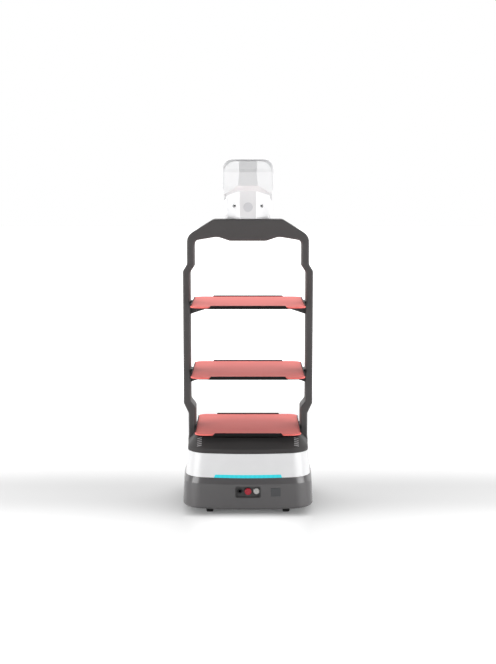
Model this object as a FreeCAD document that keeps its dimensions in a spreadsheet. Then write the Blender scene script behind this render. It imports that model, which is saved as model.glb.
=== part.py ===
import FreeCAD, Part
import Sketcher
import math
import os
import re

# A three-tray autonomous delivery robot: wheeled base, arch frame, trays and a display head.
# Millimetres. X runs across the robot, +Y is its front, +Z is up, and the floor is Z = 0.

Vector = FreeCAD.Vector
Rotation = FreeCAD.Rotation
Placement = FreeCAD.Placement

doc = FreeCAD.newDocument("delivery_robot")
sheet = doc.addObject("Spreadsheet::Sheet", "sizes")
nodes = {}

driving_sizes = {
    # wheeled base, by height: half width and half depth of each section
    "skirt_low": 30, "skirt_wide": 37, "skirt_half_w": 243.7, "skirt_half_d": 252, "foot_in": 4,
    "skirt_crease": 122, "crease_in": 5, "seam_level": 144, "seam_in": 11.2,
    "band_top": 230.7, "band_in_w": 9.5, "band_in_d": 9.8,
    "deck_low": 231.3, "deck_proud": 2, "deck_side_top": 246, "deck_side_in_w": 2, "deck_side_in_d": 6,
    "deck_top": 276, "deck_top_in_w": 28, "deck_top_in_d": 68,
    "flange_thick": 4, "flange_reach": 18, "window_gap": 0.2, "window_lap": 5,
    "bow_radius": 900, "side_radius": 2500, "base_corner": 78, "deck_corner": 42,
    "wall": 3, "seam_gap": 0.8, "loose_fit": 0.3, "run_fit": 0.05, "edge_round": 6,
    # chassis
    "chassis_level": 70, "chassis_thick": 4, "ledge_reach": 24,
    "ledge_thick": 4, "upper_level": 206, "upper_thick": 3, "upper_inset": 3.4,
    "post_spacing": 118, "post_radius": 10,
    # arch frame: half widths and heights of its outer and inner lines
    "arch_depth": 95, "low_in": 1.8, "wide_out": 16.4, "neck_out": 1,
    "low_post": 26.2, "wide_post": 25.8, "neck_post": 26.7,
    "foot_top": 262, "jog_low": 344.5, "jog_rise": 38.5, "inner_jog_low": 366.5, "inner_jog_rise": 24,
    "jog_high": 878, "jog_high_rise": 26, "inner_jog_high": 872.5, "inner_high_rise": 24,
    "shoulder_in": 0.5, "shoulder_level": 1009, "bar_top_w": 128, "bar_top": 1070,
    "ceiling_corner": 991, "hump_w": 113, "hump_level": 1005.4, "bar_low_w": 67.5, "bar_low": 990,
    "shoulder_round": 40, "bar_round": 26, "ceiling_round": 20, "hump_round": 56, "jog_round": 16,
    "core_inset": 3.6, "core_thick": 12, "core_depth": 56,
    # trays
    "tray_half_d": 200, "tray_room": 7.6, "low_tray_half_d": 188, "low_tray_room": 2.5,
    "upper_tray": 761.4, "middle_tray": 505, "lower_tray": 294.2,
    "mat_thick": 5, "tray_plate": 3, "tray_corner": 34, "lip_thick": 2, "lip_rise": 4,
    "lip_end": 65, "lip_slant": 9, "plate_inset": 6,
    "arm_reach": 102, "arm_drop": 36, "arm_tip": 3, "arm_half_d": 30, "arm_kink": 8, "arm_shoulder": 33,
    "tray_gap": 0.6, "mat_round": 0.8,
    # drive wheels and their sprung arms
    "wheel_radius": 82.5, "wheel_in": 62.7, "wheel_width": 42, "hub_radius": 62, "axle_radius": 6,
    "pivot_y": 95, "pivot_radius": 5, "swing_in": 37, "swing_thick": 12, "swing_half_h": 8,
    "spring_y": 60, "spring_radius": 11, "spring_wire": 3, "spring_high": 138, "spring_turns": 6,
    "wheel_room": 6, "tread_round": 7, "hub_rim": 8, "hub_dish": 6, "hub_boss": 16, "swing_end": 4,
    "swing_eye": 9,
    "guide_long": 12, "ear_thick": 4, "ear_half": 14,
    # casters
    "caster_plate": 3, "caster_plate_half": 29, "caster_plate_round": 6, "caster_cup_low": 61,
    "crown_thick": 4,
    "leg_root": 12, "leg_boss": 8, "caster_round": 4,
    "caster_x": 140, "caster_y": 150, "caster_radius": 25, "caster_width": 25, "caster_trail": 18,
    "fork_gap": 1.2, "fork_leg": 2.5, "kingpin_radius": 4, "caster_axle": 3, "swivel_radius": 17,
    # rear panel
    "panel_half_w": 46, "panel_mid": 94, "panel_half_h": 20.7, "panel_corner": 8, "panel_floor_in": 12,
    "panel_front_in": 4.8, "control_level": 97, "stop_radius": 12.2, "power_x": 30.4, "power_radius": 11.1,
    "socket_x": 29.3, "socket_bore": 5.5, "socket_deep": 15,
    "flap_pin": 0.8, "flap_pin_long": 2,
    "flap_x": 100.4, "flap_level": 93.3, "flap_w": 34.4, "flap_h": 30.5,
    "panel_rim": 2.5, "flange_proud": 2.4, "control_flange": 1.4, "socket_body": 7.8, "stop_body": 10.8,
    "power_body": 8.8, "stem_radius": 3, "stop_long": 34, "stop_travel": 4, "stop_thick": 5,
    "stop_round": 2.2,
    "stop_dome": 1, "ring_high": 3.6, "ring_round": 1, "power_cap": 8, "power_long": 24, "power_travel": 2,
    "cup_deep": 16, "lan_half_w": 6.2, "lan_half_h": 5.4, "usb_half_w": 3, "usb_half_h": 6.3,
    "port_wall": 0.8,
    "port_long": 9,
    # inside the base
    "battery_half_w": 95, "switch_room": 16, "battery_front": 40, "battery_high": 76, "pack_round": 8,
    "grip_half": 35, "case_half_w": 100, "case_rear": -25, "case_front": 108, "case_high": 30, "fin_thick": 3,
    "fin_high": 14, "spindle_radius": 5, "optic_radius": 5,
    # light strips
    "light_round": 3, "light_low_w": 123.5, "light_top_w": 118.5, "light_high": 11.5,
    # navigation sensor
    "lidar_y": 165, "lidar_level": 150, "lidar_radius": 35, "slot_half_w": 110, "slot_low": 168,
    "slot_high": 192,
    # head
    "head_half_w": 88, "head_low": 1132, "head_ledge": 1192, "head_crease": 1241, "head_chamfer": 1251,
    "head_top": 1281, "head_round": 42, "head_front": 35, "head_lean": 0.11,
    "bezel_half_w": 95, "bezel_low": 1155, "bezel_high": 1290, "bezel_round": 36, "bezel_thick": 20,
    "neck_facet_w": 29.5, "neck_facet_y": 43, "neck_wide_w": 79, "neck_wide_y": 12, "neck_side_w": 88,
    "neck_low": 1075, "neck_low_rise": 8, "ledge_drop": 31, "ledge_run": 60, "disc_level": 1113.7,
    "disc_radius": 17,
    "screw_x": 50.5, "screw_level": 1118, "screw_radius": 3.5, "well_radius": 7, "well_deep": 4,
    "disc_thick": 2,
    "ledge_facet_w": 36, "ledge_facet_y": 80, "ledge_side_y": 20,
    "crease_facet_w": 31.4, "crease_facet_y": 75, "crease_side_y": 15,
    "chamfer_facet_w": 33, "chamfer_facet_y": 66, "chamfer_side_y": 8,
    "crown_facet_w": 33, "crown_facet_y": 52, "crown_side_y": -4, "neck_front": 30,
    "bezel_edge": 4, "glass_inset": 7, "glass_thick": 1.8, "display_inset": 12, "display_thick": 6,
    # depth camera
    "camera_level": 1030, "camera_half_w": 46, "camera_half_h": 12, "camera_deep": 14, "lens_radius": 6,
}

# Sizes that follow from the driving ones: shells inset one from the next, posts set beside the lid,
# and what fits between them.
derived_sizes = {
    "skirt_foot_w": "skirt_half_w - foot_in", "skirt_foot_d": "skirt_half_d - foot_in",
    "crease_half_w": "skirt_half_w - crease_in", "crease_half_d": "skirt_half_d - crease_in",
    "seam_half_w": "skirt_half_w - seam_in", "seam_half_d": "skirt_half_d - seam_in",
    "band_half_w": "seam_half_w - band_in_w", "band_half_d": "seam_half_d - band_in_d",
    "deck_half_w": "band_half_w + deck_proud", "deck_half_d": "band_half_d",
    "deck_side_w": "deck_half_w - deck_side_in_w", "deck_side_d": "deck_half_d - deck_side_in_d",
    "deck_top_w": "deck_half_w - deck_top_in_w", "deck_top_d": "deck_half_d - deck_top_in_d",
    "low_outer": "deck_half_w - low_in", "low_inner": "low_outer - low_post",
    "wide_outer": "deck_half_w + wide_out", "wide_inner": "wide_outer - wide_post",
    "neck_outer": "deck_half_w + neck_out", "neck_inner": "neck_outer - neck_post",
    "shoulder_w": "neck_outer - shoulder_in",
    "tray_half_w": "wide_inner - tray_room", "low_tray_half_w": "low_inner - low_tray_room",
    "wheel_mid_x": "skirt_half_w - wheel_in", "swing_mid_x": "wheel_mid_x - swing_in",
    "panel_floor": "skirt_half_d - panel_floor_in", "panel_front": "skirt_half_d - panel_front_in",
    "battery_rear": "panel_floor - stop_long - switch_room",
}

for row, (alias, amount) in enumerate(driving_sizes.items(), 1):
    sheet.set(f"A{row}", alias)
    sheet.set(f"B{row}", str(amount))
    sheet.setAlias(f"B{row}", alias)
doc.recompute()


# ---------------------------------------------------------------- small helpers

def named(word):
    """Value of one plain number or one size name, with an optional minus sign."""
    if re.fullmatch(r"-?[\d.]+", word):
        return float(word)
    return -sheet.get(word[1:]) if word.startswith("-") else sheet.get(word)


def spelled(text):
    """The same text with each derived size written out in driving ones."""
    return re.sub(r"[a-z]\w+", lambda found: derived_sizes.get(found.group(0), found.group(0)), str(text))


for word, text in derived_sizes.items():
    derived_sizes[word] = f"({spelled(text)})"


def number(text):
    """Value of sums, products and brackets of size names, such as 'deck_top - 2 * wall'."""
    text = spelled(text)
    while "(" in text:
        text = re.sub(r"\(([^()]*)\)", lambda inner: f"{number(inner.group(1)):.9f}", text)
    total = 0.0
    for term in text.replace(" - ", " + -1 * ").split(" + "):
        product = 1.0
        for factor in term.split(" * "):
            top, *under = factor.split(" / ")
            product *= named(top)
            for word in under:
                product /= named(word)
        total += product
    return total


def bound(text):
    """The same text as an expression on the sheet."""
    return re.sub(r"[a-z]\w+", lambda found: "sizes." + found.group(0), spelled(text))


def bind(item, path, text):
    item.setExpression(path, bound(text))


def negative(text):
    return f"-1 * ({text})"


def between(level, low, high, start, stop):
    """Expression for a size that runs evenly from start at one level to stop at another."""
    return f"{start} + ({stop} - {start}) * ({level} - {low}) / ({high} - {low})"


def check(item):
    doc.recompute()
    broken = [word for word in item.State if word in ("Invalid", "Error")]
    if broken:
        raise RuntimeError(f"{item.Name}: {broken}")
    return item


def new_body(label):
    body = doc.addObject("PartDesign::Body", label)
    body.Label = label
    return body


def new_sketch(body, role, lift="0"):
    """A sketch on one of the body's own origin planes, raised along the plane's normal."""
    flat = body.newObject("Sketcher::SketchObject", body.Name + "_sketch")
    plane = next(item for item in body.Origin.OriginFeatures if item.Role == role)
    flat.AttachmentSupport = [(plane, "")]
    flat.MapMode = "FlatFace"
    if lift != "0":
        bind(flat, ".AttachmentOffset.Base.z", lift)
    return flat


def pin_point(flat, geometry, end, x, y):
    """Hold one point of a sketch at sheet-driven coordinates."""
    for axis, kind, text in ((-2, "DistanceX", x), (-1, "DistanceY", y)):
        if str(text) == "0":
            flat.addConstraint(Sketcher.Constraint("PointOnObject", geometry, end, axis))
        else:
            spot = flat.addConstraint(Sketcher.Constraint(kind, -1, 1, geometry, end, number(text)))
            bind(flat, f"Constraints[{spot}]", text)


def draw_outline(flat, corners):
    """Closed outline through corners (x, y) or (x, y, radius), each an expression."""
    count = len(corners)
    spots = [Vector(number(corner[0]), number(corner[1]), 0) for corner in corners]
    ends = []
    for k, corner in enumerate(corners):
        here, before, after = spots[k], spots[k - 1], spots[(k + 1) % count]
        if len(corner) == 2:
            ends.append((here, here, None))
            continue
        inward, outward = (before - here).normalize(), (after - here).normalize()
        radius = number(corner[2])
        half = inward.getAngle(outward) / 2
        reach = radius / math.tan(half)
        middle = here + (inward + outward).normalize() * (radius / math.sin(half))
        ends.append((here + inward * reach, here + outward * reach, middle))
    lines = []
    for k in range(count):
        lines.append(flat.addGeometry(Part.LineSegment(ends[k][1], ends[(k + 1) % count][0]), False))
    for k, corner in enumerate(corners):
        start, stop, middle = ends[k]
        came, left = lines[k - 1], lines[k]
        if middle is None:
            flat.addConstraint(Sketcher.Constraint("Coincident", came, 2, left, 1))
            pin_point(flat, left, 1, corner[0], corner[1])
            continue
        first, last = start - middle, stop - middle
        turns_left = first.cross(last).z > 0
        angles = [math.atan2(side.y, side.x) for side in (first, last)]
        if not turns_left:
            angles.reverse()
        circle = Part.Circle(middle, Vector(0, 0, 1), first.Length)
        arc = flat.addGeometry(Part.ArcOfCircle(circle, angles[0], angles[1]), False)
        came_end, left_end = (1, 2) if turns_left else (2, 1)
        point = flat.addGeometry(Part.Point(spots[k]), True)
        pin_point(flat, point, 1, corner[0], corner[1])
        flat.addConstraint(Sketcher.Constraint("PointOnObject", point, 1, came))
        flat.addConstraint(Sketcher.Constraint("PointOnObject", point, 1, left))
        flat.addConstraint(Sketcher.Constraint("Tangent", came, 2, arc, came_end))
        flat.addConstraint(Sketcher.Constraint("Tangent", arc, left_end, left, 1))
        spot = flat.addConstraint(Sketcher.Constraint("Radius", arc, first.Length))
        bind(flat, f"Constraints[{spot}]", corner[2])
    return flat


def draw_bowed(flat, half_w, half_d, corner):
    """Closed outline of eight tangent arcs: bowed front, back and sides, rounded corners."""
    wide, deep, small = number(half_w), number(half_d), number(corner)
    bow, side = number("bow_radius"), number("side_radius")
    low, right = deep - bow, wide - side
    # a corner arc's middle is (bow - small) from the front arc's and (side - small) from the side arc's
    reach = Vector(right, -low, 0)
    span, first, second = reach.Length, bow - small, side - small
    along = (span * span + first * first - second * second) / (2 * span)
    across = math.sqrt(first * first - along * along)
    unit = reach.normalize()
    corner_x = abs(along * unit.x - across * unit.y)
    corner_y = low + along * unit.y + across * unit.x
    if corner_y < 0:
        corner_x = abs(along * unit.x + across * unit.y)
        corner_y = low + along * unit.y - across * unit.x
    quarters = [(1, 1), (-1, 1), (-1, -1), (1, -1)]
    middles = [Vector(0, low, 0), Vector(-right, 0, 0), Vector(0, -low, 0), Vector(right, 0, 0)]
    radii = [bow, side, bow, side]
    bends = [Vector(corner_x * x, corner_y * y, 0) for x, y in quarters]

    def angle(middle, towards):
        way = towards - middle
        return math.atan2(way.y, way.x)

    big, little = [], []
    for k in range(4):
        came, left = bends[k], bends[(k + 1) % 4]
        circle = Part.Circle(middles[k], Vector(0, 0, 1), radii[k])
        start, stop = angle(middles[k], came), angle(middles[k], left)
        big.append(flat.addGeometry(Part.ArcOfCircle(circle, start, stop), False))
    for k in range(4):
        circle = Part.Circle(bends[k], Vector(0, 0, 1), small)
        start, stop = angle(middles[k - 1], bends[k]), angle(middles[k], bends[k])
        little.append(flat.addGeometry(Part.ArcOfCircle(circle, start, stop), False))
    for k in range(4):
        flat.addConstraint(Sketcher.Constraint("Tangent", big[k - 1], 2, little[k], 1))
        flat.addConstraint(Sketcher.Constraint("Tangent", little[k], 2, big[k], 1))
    places = [("0", f"{half_d} - bow_radius"), (negative(f"{half_w} - side_radius"), "0"),
              ("0", negative(f"{half_d} - bow_radius")), (f"{half_w} - side_radius", "0")]
    for k in range(4):
        pin_point(flat, big[k], 3, *places[k])
        spot = flat.addConstraint(Sketcher.Constraint("Radius", big[k], radii[k]))
        bind(flat, f"Constraints[{spot}]", "side_radius" if k % 2 else "bow_radius")
        spot = flat.addConstraint(Sketcher.Constraint("Radius", little[k], small))
        bind(flat, f"Constraints[{spot}]", corner)
    return flat


def draw_circle(flat, x, y, radius):
    middle = Vector(number(x), number(y), 0)
    ring = flat.addGeometry(Part.Circle(middle, Vector(0, 0, 1), number(radius)), False)
    pin_point(flat, ring, 3, x, y)
    spot = flat.addConstraint(Sketcher.Constraint("Radius", ring, number(radius)))
    bind(flat, f"Constraints[{spot}]", radius)
    return flat


def box_corners(half_w, low, high, radius=None):
    """Corners of an upright rectangle that is centred across."""
    left = negative(half_w)
    spots = [(left, low), (half_w, low), (half_w, high), (left, high)]
    return [spot + (radius,) for spot in spots] if radius else spots


def pad(body, flat, length, both_ways=False, backwards=False):
    feature = body.newObject("PartDesign::Pad", body.Name + "_pad")
    feature.Profile = flat
    bind(feature, "Length", length)
    feature.Midplane = both_ways
    feature.Reversed = backwards
    return check(feature)


def pocket(body, flat, length, both_ways=False, backwards=False):
    before = body.Tip.Shape.Volume
    feature = body.newObject("PartDesign::Pocket", body.Name + "_pocket")
    feature.Profile = flat
    bind(feature, "Length", length)
    feature.Midplane = both_ways
    feature.Reversed = backwards
    check(feature)
    if feature.Shape.Volume >= before - 0.01:
        raise RuntimeError(f"{feature.Name} cuts nothing")
    return feature


def loft(body, flats, hollow=False):
    kind = "PartDesign::SubtractiveLoft" if hollow else "PartDesign::AdditiveLoft"
    feature = body.newObject(kind, body.Name + "_loft")
    feature.Profile = flats[0]
    feature.Sections = flats[1:]
    feature.Ruled = True
    return check(feature)


def revolve(body, flat, cut=False):
    """Turn a sketch on the XZ plane round the body's upright axis."""
    feature = body.newObject("PartDesign::Groove" if cut else "PartDesign::Revolution", body.Name + "_turn")
    feature.Profile = flat
    feature.ReferenceAxis = (flat, ["V_Axis"])
    feature.Angle = 360
    return check(feature)


def edge_names(feature, wanted):
    return [f"Edge{k}" for k, edge in enumerate(feature.Shape.Edges, 1) if wanted(edge)]


def fillet(body, feature, wanted, radius, kind="Fillet"):
    """Round or chamfer the edges of a feature that pass a test."""
    names = edge_names(feature, wanted)
    if not names:
        raise RuntimeError(f"{feature.Name}: no edge to finish")
    finish = body.newObject("PartDesign::" + kind, f"{body.Name}_{kind.lower()}")
    finish.Base = (feature, names)
    bind(finish, "Radius" if kind == "Fillet" else "Size", radius)
    return check(finish)


def block(name, low, high):
    """A Part box between two corners given as expressions."""
    item = doc.addObject("Part::Box", name)
    for side, axis, start, stop in zip(("Length", "Width", "Height"), "xyz", low, high):
        item.setExpression(side, f"({bound(stop)}) - ({bound(start)})")
        item.setExpression(f"Placement.Base.{axis}", bound(start))
    return check(item)


turns = {"x": Rotation(Vector(0, 1, 0), 90), "y": Rotation(Vector(1, 0, 0), -90), "z": Rotation()}


def rod(name, way, start, radius, length):
    """A Part cylinder from a point along +x, +y or +z."""
    item = doc.addObject("Part::Cylinder", name)
    bind(item, "Radius", radius)
    bind(item, "Height", length)
    item.Placement = Placement(Vector(), turns[way])
    for axis, text in zip("xyz", start):
        item.setExpression(f"Placement.Base.{axis}", bound(text))
    return check(item)


def join(name, pieces):
    item = doc.addObject("Part::MultiFuse", name)
    item.Shapes = pieces
    item.Refine = True
    return check(item)


def cut(name, base, tool):
    item = doc.addObject("Part::Cut", name)
    item.Base, item.Tool = base, tool
    return check(item)


def common(name, base, tool):
    item = doc.addObject("Part::Common", name)
    item.Base, item.Tool = base, tool
    return check(item)


def group(name, pieces):
    """Separate solids that share one node."""
    item = doc.addObject("Part::Compound", name)
    item.Links = pieces
    return check(item)


def node(label, item):
    item.Label = label
    nodes[label] = item
    return item


# ---------------------------------------------------------------- base shells

skirt_sections = [("skirt_low", "skirt_foot_w", "skirt_foot_d"),
                  ("skirt_wide", "skirt_half_w", "skirt_half_d"),
                  ("skirt_crease", "crease_half_w", "crease_half_d"),
                  ("seam_level", "seam_half_w", "seam_half_d")]
band_sections = [("seam_level", "seam_half_w", "seam_half_d"), ("band_top", "band_half_w", "band_half_d")]


def bowed_loft(body, sections, inset="0", hollow=False, corner="base_corner"):
    """Ruled loft through bowed outlines, each moved inwards by the same inset."""
    flats = []
    for level, half_w, half_d in sections:
        flat = new_sketch(body, "XY_Plane", level)
        draw_bowed(flat, f"{half_w} - ({inset})", f"{half_d} - ({inset})", f"{corner} - ({inset})")
        flats.append(check(flat))
    return loft(body, flats, hollow)


def flange(body, level, thick, outer, inner):
    """A flat ring inside a shell; outer and inner are (half width, half depth, corner radius)."""
    flat = new_sketch(body, "XY_Plane", level)
    draw_bowed(flat, *outer)
    draw_bowed(flat, *inner)
    return pad(body, check(flat), thick)


def lower_shell_body():
    """Grey skirt: open above and below, with a ledge that the chassis plate lies on."""
    body = new_body("lower_shell_wall")
    sections = skirt_sections[:-1] + [("seam_level - seam_gap / 2", "seam_half_w", "seam_half_d")]
    bowed_loft(body, sections)
    inside = sections[1:-1]
    inside.insert(0, ("skirt_low - wall", "skirt_foot_w", "skirt_foot_d"))
    inside.append(("seam_level + wall", "seam_half_w", "seam_half_d"))
    bowed_loft(body, inside, "wall", hollow=True)
    shell_w = between("chassis_level", "skirt_wide", "skirt_crease", "skirt_half_w", "crease_half_w")
    shell_d = between("chassis_level", "skirt_wide", "skirt_crease", "skirt_half_d", "crease_half_d")
    outer = (f"{shell_w} - wall / 2", f"{shell_d} - wall / 2", "base_corner - wall / 2")
    inner = (f"{shell_w} - ledge_reach", f"{shell_d} - ledge_reach", "base_corner - ledge_reach")
    flange(body, "chassis_level - ledge_thick", "ledge_thick", outer, inner)
    return body


def flap_frame(depth):
    """Placement on the skirt beside the panel: x along the wall, y inwards, z up it."""
    level, across = number("flap_level"), number("flap_x")
    share = (level - number("skirt_wide")) / (number("skirt_crease") - number("skirt_wide"))
    drop = number("skirt_half_d") - number("crease_half_d")
    bow, half_d = number("bow_radius"), number("skirt_half_d") - share * drop
    turn = math.asin(across / bow)
    lean = math.atan2(drop, number("skirt_crease") - number("skirt_wide"))
    rotation = Rotation(Vector(0, 0, 1), math.degrees(turn)) * Rotation(Vector(1, 0, 0), -math.degrees(lean))
    face = Vector(across, bow - half_d - bow * math.cos(turn), level)
    return Placement(face + rotation.multVec(Vector(0, depth, 0)), rotation)


def flap_window():
    """Opening for the service flap, with the two bores for its hinge pins."""
    body = new_body("flap_opening")
    flat = new_sketch(body, "XZ_Plane", "2 * wall")
    draw_outline(flat, box_corners("flap_w / 2 + loose_fit", "-flap_h / 2 - loose_fit",
                                   "flap_h / 2 + loose_fit"))
    pad(body, flat, "5 * wall", backwards=True)
    bores = new_sketch(body, "YZ_Plane")
    draw_circle(bores, "wall / 2", "flap_h / 2 - wall / 2", "flap_pin + run_fit")
    pad(body, bores, "flap_w + 2 * flap_pin_long + 2 * loose_fit", both_ways=True)
    body.Placement = flap_frame(0)
    return body


def lower_shell():
    window = new_body("panel_opening")
    flat = new_sketch(window, "XZ_Plane", "skirt_half_d + wall")
    draw_outline(flat, box_corners("panel_half_w + loose_fit", "panel_mid - panel_half_h - loose_fit",
                                   "panel_mid + panel_half_h + loose_fit", "panel_corner"))
    pad(window, flat, "4 * wall", backwards=True)
    return cut("lower_shell", lower_shell_body(), join("skirt_openings", [window, flap_window()]))


def strip_prism(name, slack):
    """Upright trapezoid through the whole base, as wide as a light strip plus some slack."""
    body = new_body(name)
    flat = new_sketch(body, "XZ_Plane")
    low, high = "seam_level - wall", f"seam_level + light_high + {slack}"
    draw_outline(flat, [(f"-light_low_w - {slack}", low), (f"light_low_w + {slack}", low),
                        (f"light_low_w + {slack}", "seam_level"),
                        (f"light_top_w + {slack}", high, "light_round"),
                        (f"-light_top_w - {slack}", high, "light_round"),
                        (f"-light_low_w - {slack}", "seam_level")])
    pad(body, flat, "3 * skirt_half_d", both_ways=True)
    return body


def band_wall(name, outer, inner, low="seam_level", high="band_top"):
    """Tapered wall of the white band, from one inset to another."""
    body = new_body(name)
    sections = [(low, "seam_half_w", "seam_half_d"), (high, "band_half_w", "band_half_d")]
    bowed_loft(body, sections, outer)
    bowed_loft(body, sections, inner, hollow=True)
    return body


def band_shell():
    """White band: slots for both light strips and the sensor, hung on the upper plate by a flange."""
    body = band_wall("band_wall", "0", "wall", low="seam_level + seam_gap / 2")
    shell_w = between("upper_level", "seam_level", "band_top", "seam_half_w", "band_half_w")
    shell_d = between("upper_level", "seam_level", "band_top", "seam_half_d", "band_half_d")
    outer = (f"{shell_w} - wall / 2", f"{shell_d} - wall / 2", "base_corner - wall / 2")
    inner = (f"{shell_w} - flange_reach", f"{shell_d} - flange_reach", "base_corner - flange_reach")
    flange(body, "upper_level + upper_thick", "flange_thick", outer, inner)
    notch = new_sketch(body, "XY_Plane", "upper_level + upper_thick + flange_thick")
    draw_outline(notch, [("-low_outer + core_inset / 2", "-core_depth / 2 - wall"),
                         ("low_outer - core_inset / 2", "-core_depth / 2 - wall"),
                         ("low_outer - core_inset / 2", "core_depth / 2 + wall"),
                         ("-low_outer + core_inset / 2", "core_depth / 2 + wall")])
    pocket(body, notch, "flange_thick")
    slot = block("sensor_slot", ("-slot_half_w", "0", "slot_low"),
                 ("slot_half_w", "2 * skirt_half_d", "slot_high"))
    return cut("band_shell", body, join("band_openings", [strip_prism("strip_opening", "loose_fit"), slot]))


def light_strip(label, side):
    """Diffuser that fills a band slot, flush outside; side is -1 at the rear and 1 at the front."""
    wall_piece = band_wall(label + "_wall", "0", "wall + 1", low="seam_level + seam_gap / 2")
    far = "2 * skirt_half_d"
    half = block(label + "_half", ("-" + far, "-" + far if side < 0 else "0", "0"),
                 (far, "0" if side < 0 else far, "deck_top"))
    return common(label, common(label + "_strip", wall_piece, strip_prism(label + "_prism", "0")), half)


def lidar_window():
    """Smoked strip behind the sensor slot, bonded inside the band."""
    wall_piece = band_wall("window_wall", "wall + window_gap", "2 * wall")
    area = block("window_area", ("-slot_half_w - window_lap", "0", "slot_low - window_lap"),
                 ("slot_half_w + window_lap", "2 * skirt_half_d", "slot_high + window_lap"))
    return common("lidar_window", wall_piece, area)


def top_deck():
    """Dark lid: low side wall, sloping shoulder, flat top, and a skirt that drops inside the band."""
    body = new_body("deck_wall")
    sections = [("deck_low", "deck_half_w", "deck_half_d", "base_corner"),
                ("deck_side_top", "deck_side_w", "deck_side_d", "base_corner"),
                ("deck_top", "deck_top_w", "deck_top_d", "deck_corner")]
    for hollow in (False, True):
        flats = []
        for k, (level, half_w, half_d, corner) in enumerate(sections):
            inset = "wall" if hollow else "0"
            height = f"{level} - {('wall / 100', '0', 'wall')[k]}" if hollow else level
            flat = new_sketch(body, "XY_Plane", height)
            draw_bowed(flat, f"{half_w} - {inset}", f"{half_d} - {inset}", f"{corner} - {inset}")
            flats.append(check(flat))
        loft(body, flats, hollow)
    lip_outer = [f"{size} - wall - loose_fit" for size in ("band_half_w", "band_half_d", "base_corner")]
    lip_inner = [f"{size} - 2 * wall - loose_fit" for size in ("band_half_w", "band_half_d", "base_corner")]
    rim_outer = [f"{size} - wall / 2" for size in ("deck_half_w", "deck_half_d", "base_corner")]
    flange(body, "upper_level + upper_thick + flange_thick",
           "deck_low + wall - upper_level - upper_thick - flange_thick", lip_outer, lip_inner)
    flange(body, "deck_low", "wall", rim_outer, lip_inner)
    for side in (-1, 1):
        notch = new_sketch(body, "XY_Plane", "deck_top + wall")
        near, far = f"{side} * (low_inner - loose_fit)", f"{side} * (deck_half_w + 4 * wall)"
        edge = "arch_depth / 2 + loose_fit"
        draw_outline(notch, [(near, negative(edge)), (far, negative(edge)), (far, edge), (near, edge)])
        pocket(body, notch, "deck_top + wall - upper_level")
    return body


node("lower_shell", lower_shell())
node("band_shell", band_shell())
node("light_strip_rear", light_strip("light_strip_rear", -1))
node("light_strip_front", light_strip("light_strip_front", 1))
node("lidar_window", lidar_window())
node("top_deck", top_deck())


# ---------------------------------------------------------------- arch frame

def outer_line(inset="0"):
    """Right half of the arch's outside, from the deck up to the top bar."""
    return [(f"deck_half_w - {inset}", "deck_low"), (f"deck_half_w - {inset}", "deck_side_top"),
            (f"low_outer - {inset}", "foot_top", "jog_round"),
            (f"low_outer - {inset}", "jog_low", "jog_round"),
            (f"wide_outer - {inset}", "jog_low + jog_rise", "jog_round"),
            (f"wide_outer - {inset}", "jog_high", "jog_round"),
            (f"neck_outer - {inset}", "jog_high + jog_high_rise", "jog_round"),
            (f"shoulder_w - {inset}", f"shoulder_level - {inset}", "shoulder_round"),
            (f"bar_top_w - {inset} / 2", f"bar_top - {inset}", "bar_round")]


def inner_line():
    """Right half of the arch's inside, from the top bar's lower edge down to the deck."""
    return [("bar_low_w", "bar_low", "shoulder_round"), ("hump_w", "hump_level", "hump_round"),
            ("neck_inner", "ceiling_corner", "ceiling_round"),
            ("neck_inner", "inner_jog_high + inner_high_rise", "jog_round"),
            ("wide_inner", "inner_jog_high", "jog_round"),
            ("wide_inner", "inner_jog_low + inner_jog_rise", "jog_round"),
            ("low_inner", "inner_jog_low", "jog_round"), ("low_inner", "deck_low")]


def arch_outline():
    right = outer_line()
    left = [(negative(corner[0]),) + tuple(corner[1:]) for corner in reversed(right)]
    inside = inner_line()
    inside_left = [(negative(corner[0]),) + tuple(corner[1:]) for corner in reversed(inside)]
    return right + left + inside_left + inside


def arch_cover(label):
    """Rear moulded half of the arch: rounded outside, hollow towards the parting line."""
    body = new_body(label)
    flat = draw_outline(new_sketch(body, "XZ_Plane"), arch_outline())
    solid = pad(body, flat, "arch_depth / 2")
    outside = -number("arch_depth / 2")

    foot_line = number("deck_low + wall")

    def on_outside(edge):
        in_plane = all(abs(vertex.Y - outside) < 1e-4 for vertex in edge.Vertexes)
        return in_plane and edge.BoundBox.ZMax > foot_line

    rounded = fillet(body, solid, on_outside, "edge_round")
    shell = body.newObject("PartDesign::Thickness", label + "_hollow")

    def is_open(face):
        box = face.BoundBox
        parting = max(abs(box.YMin), abs(box.YMax)) < 1e-4
        return parting or box.ZMax < number("deck_low") + 1e-4

    shell.Base = (rounded, [f"Face{k}" for k, face in enumerate(rounded.Shape.Faces, 1) if is_open(face)])
    bind(shell, "Value", "wall")
    shell.Reversed = True
    check(shell)
    return body


def mirrored_copy(label, source, normal):
    item = doc.addObject("Part::Mirroring", label)
    item.Source = source
    item.Normal = normal
    return check(item)


def arch_core():
    """Bent steel flat inside the covers: its feet stand on the upper plate."""
    body = new_body("arch_core")
    outside, inside = outer_line("core_inset")[1:], outer_line("(core_inset + core_thick)")[1:]
    foot = "upper_level + upper_thick"
    right = [("low_outer - core_inset", foot)] + [spot for spot in outside if spot[1] != "deck_side_top"][1:]
    inner = [("low_outer - core_inset - core_thick", foot)]
    inner += [spot for spot in inside if spot[1] != "deck_side_top"][1:]
    left = [(negative(spot[0]),) + tuple(spot[1:]) for spot in reversed(right)]
    inner_left = [(negative(spot[0]),) + tuple(spot[1:]) for spot in inner]
    flat = draw_outline(new_sketch(body, "XZ_Plane"), right + left + inner_left + list(reversed(inner)))
    pad(body, flat, "core_depth", both_ways=True)
    return body


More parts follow.
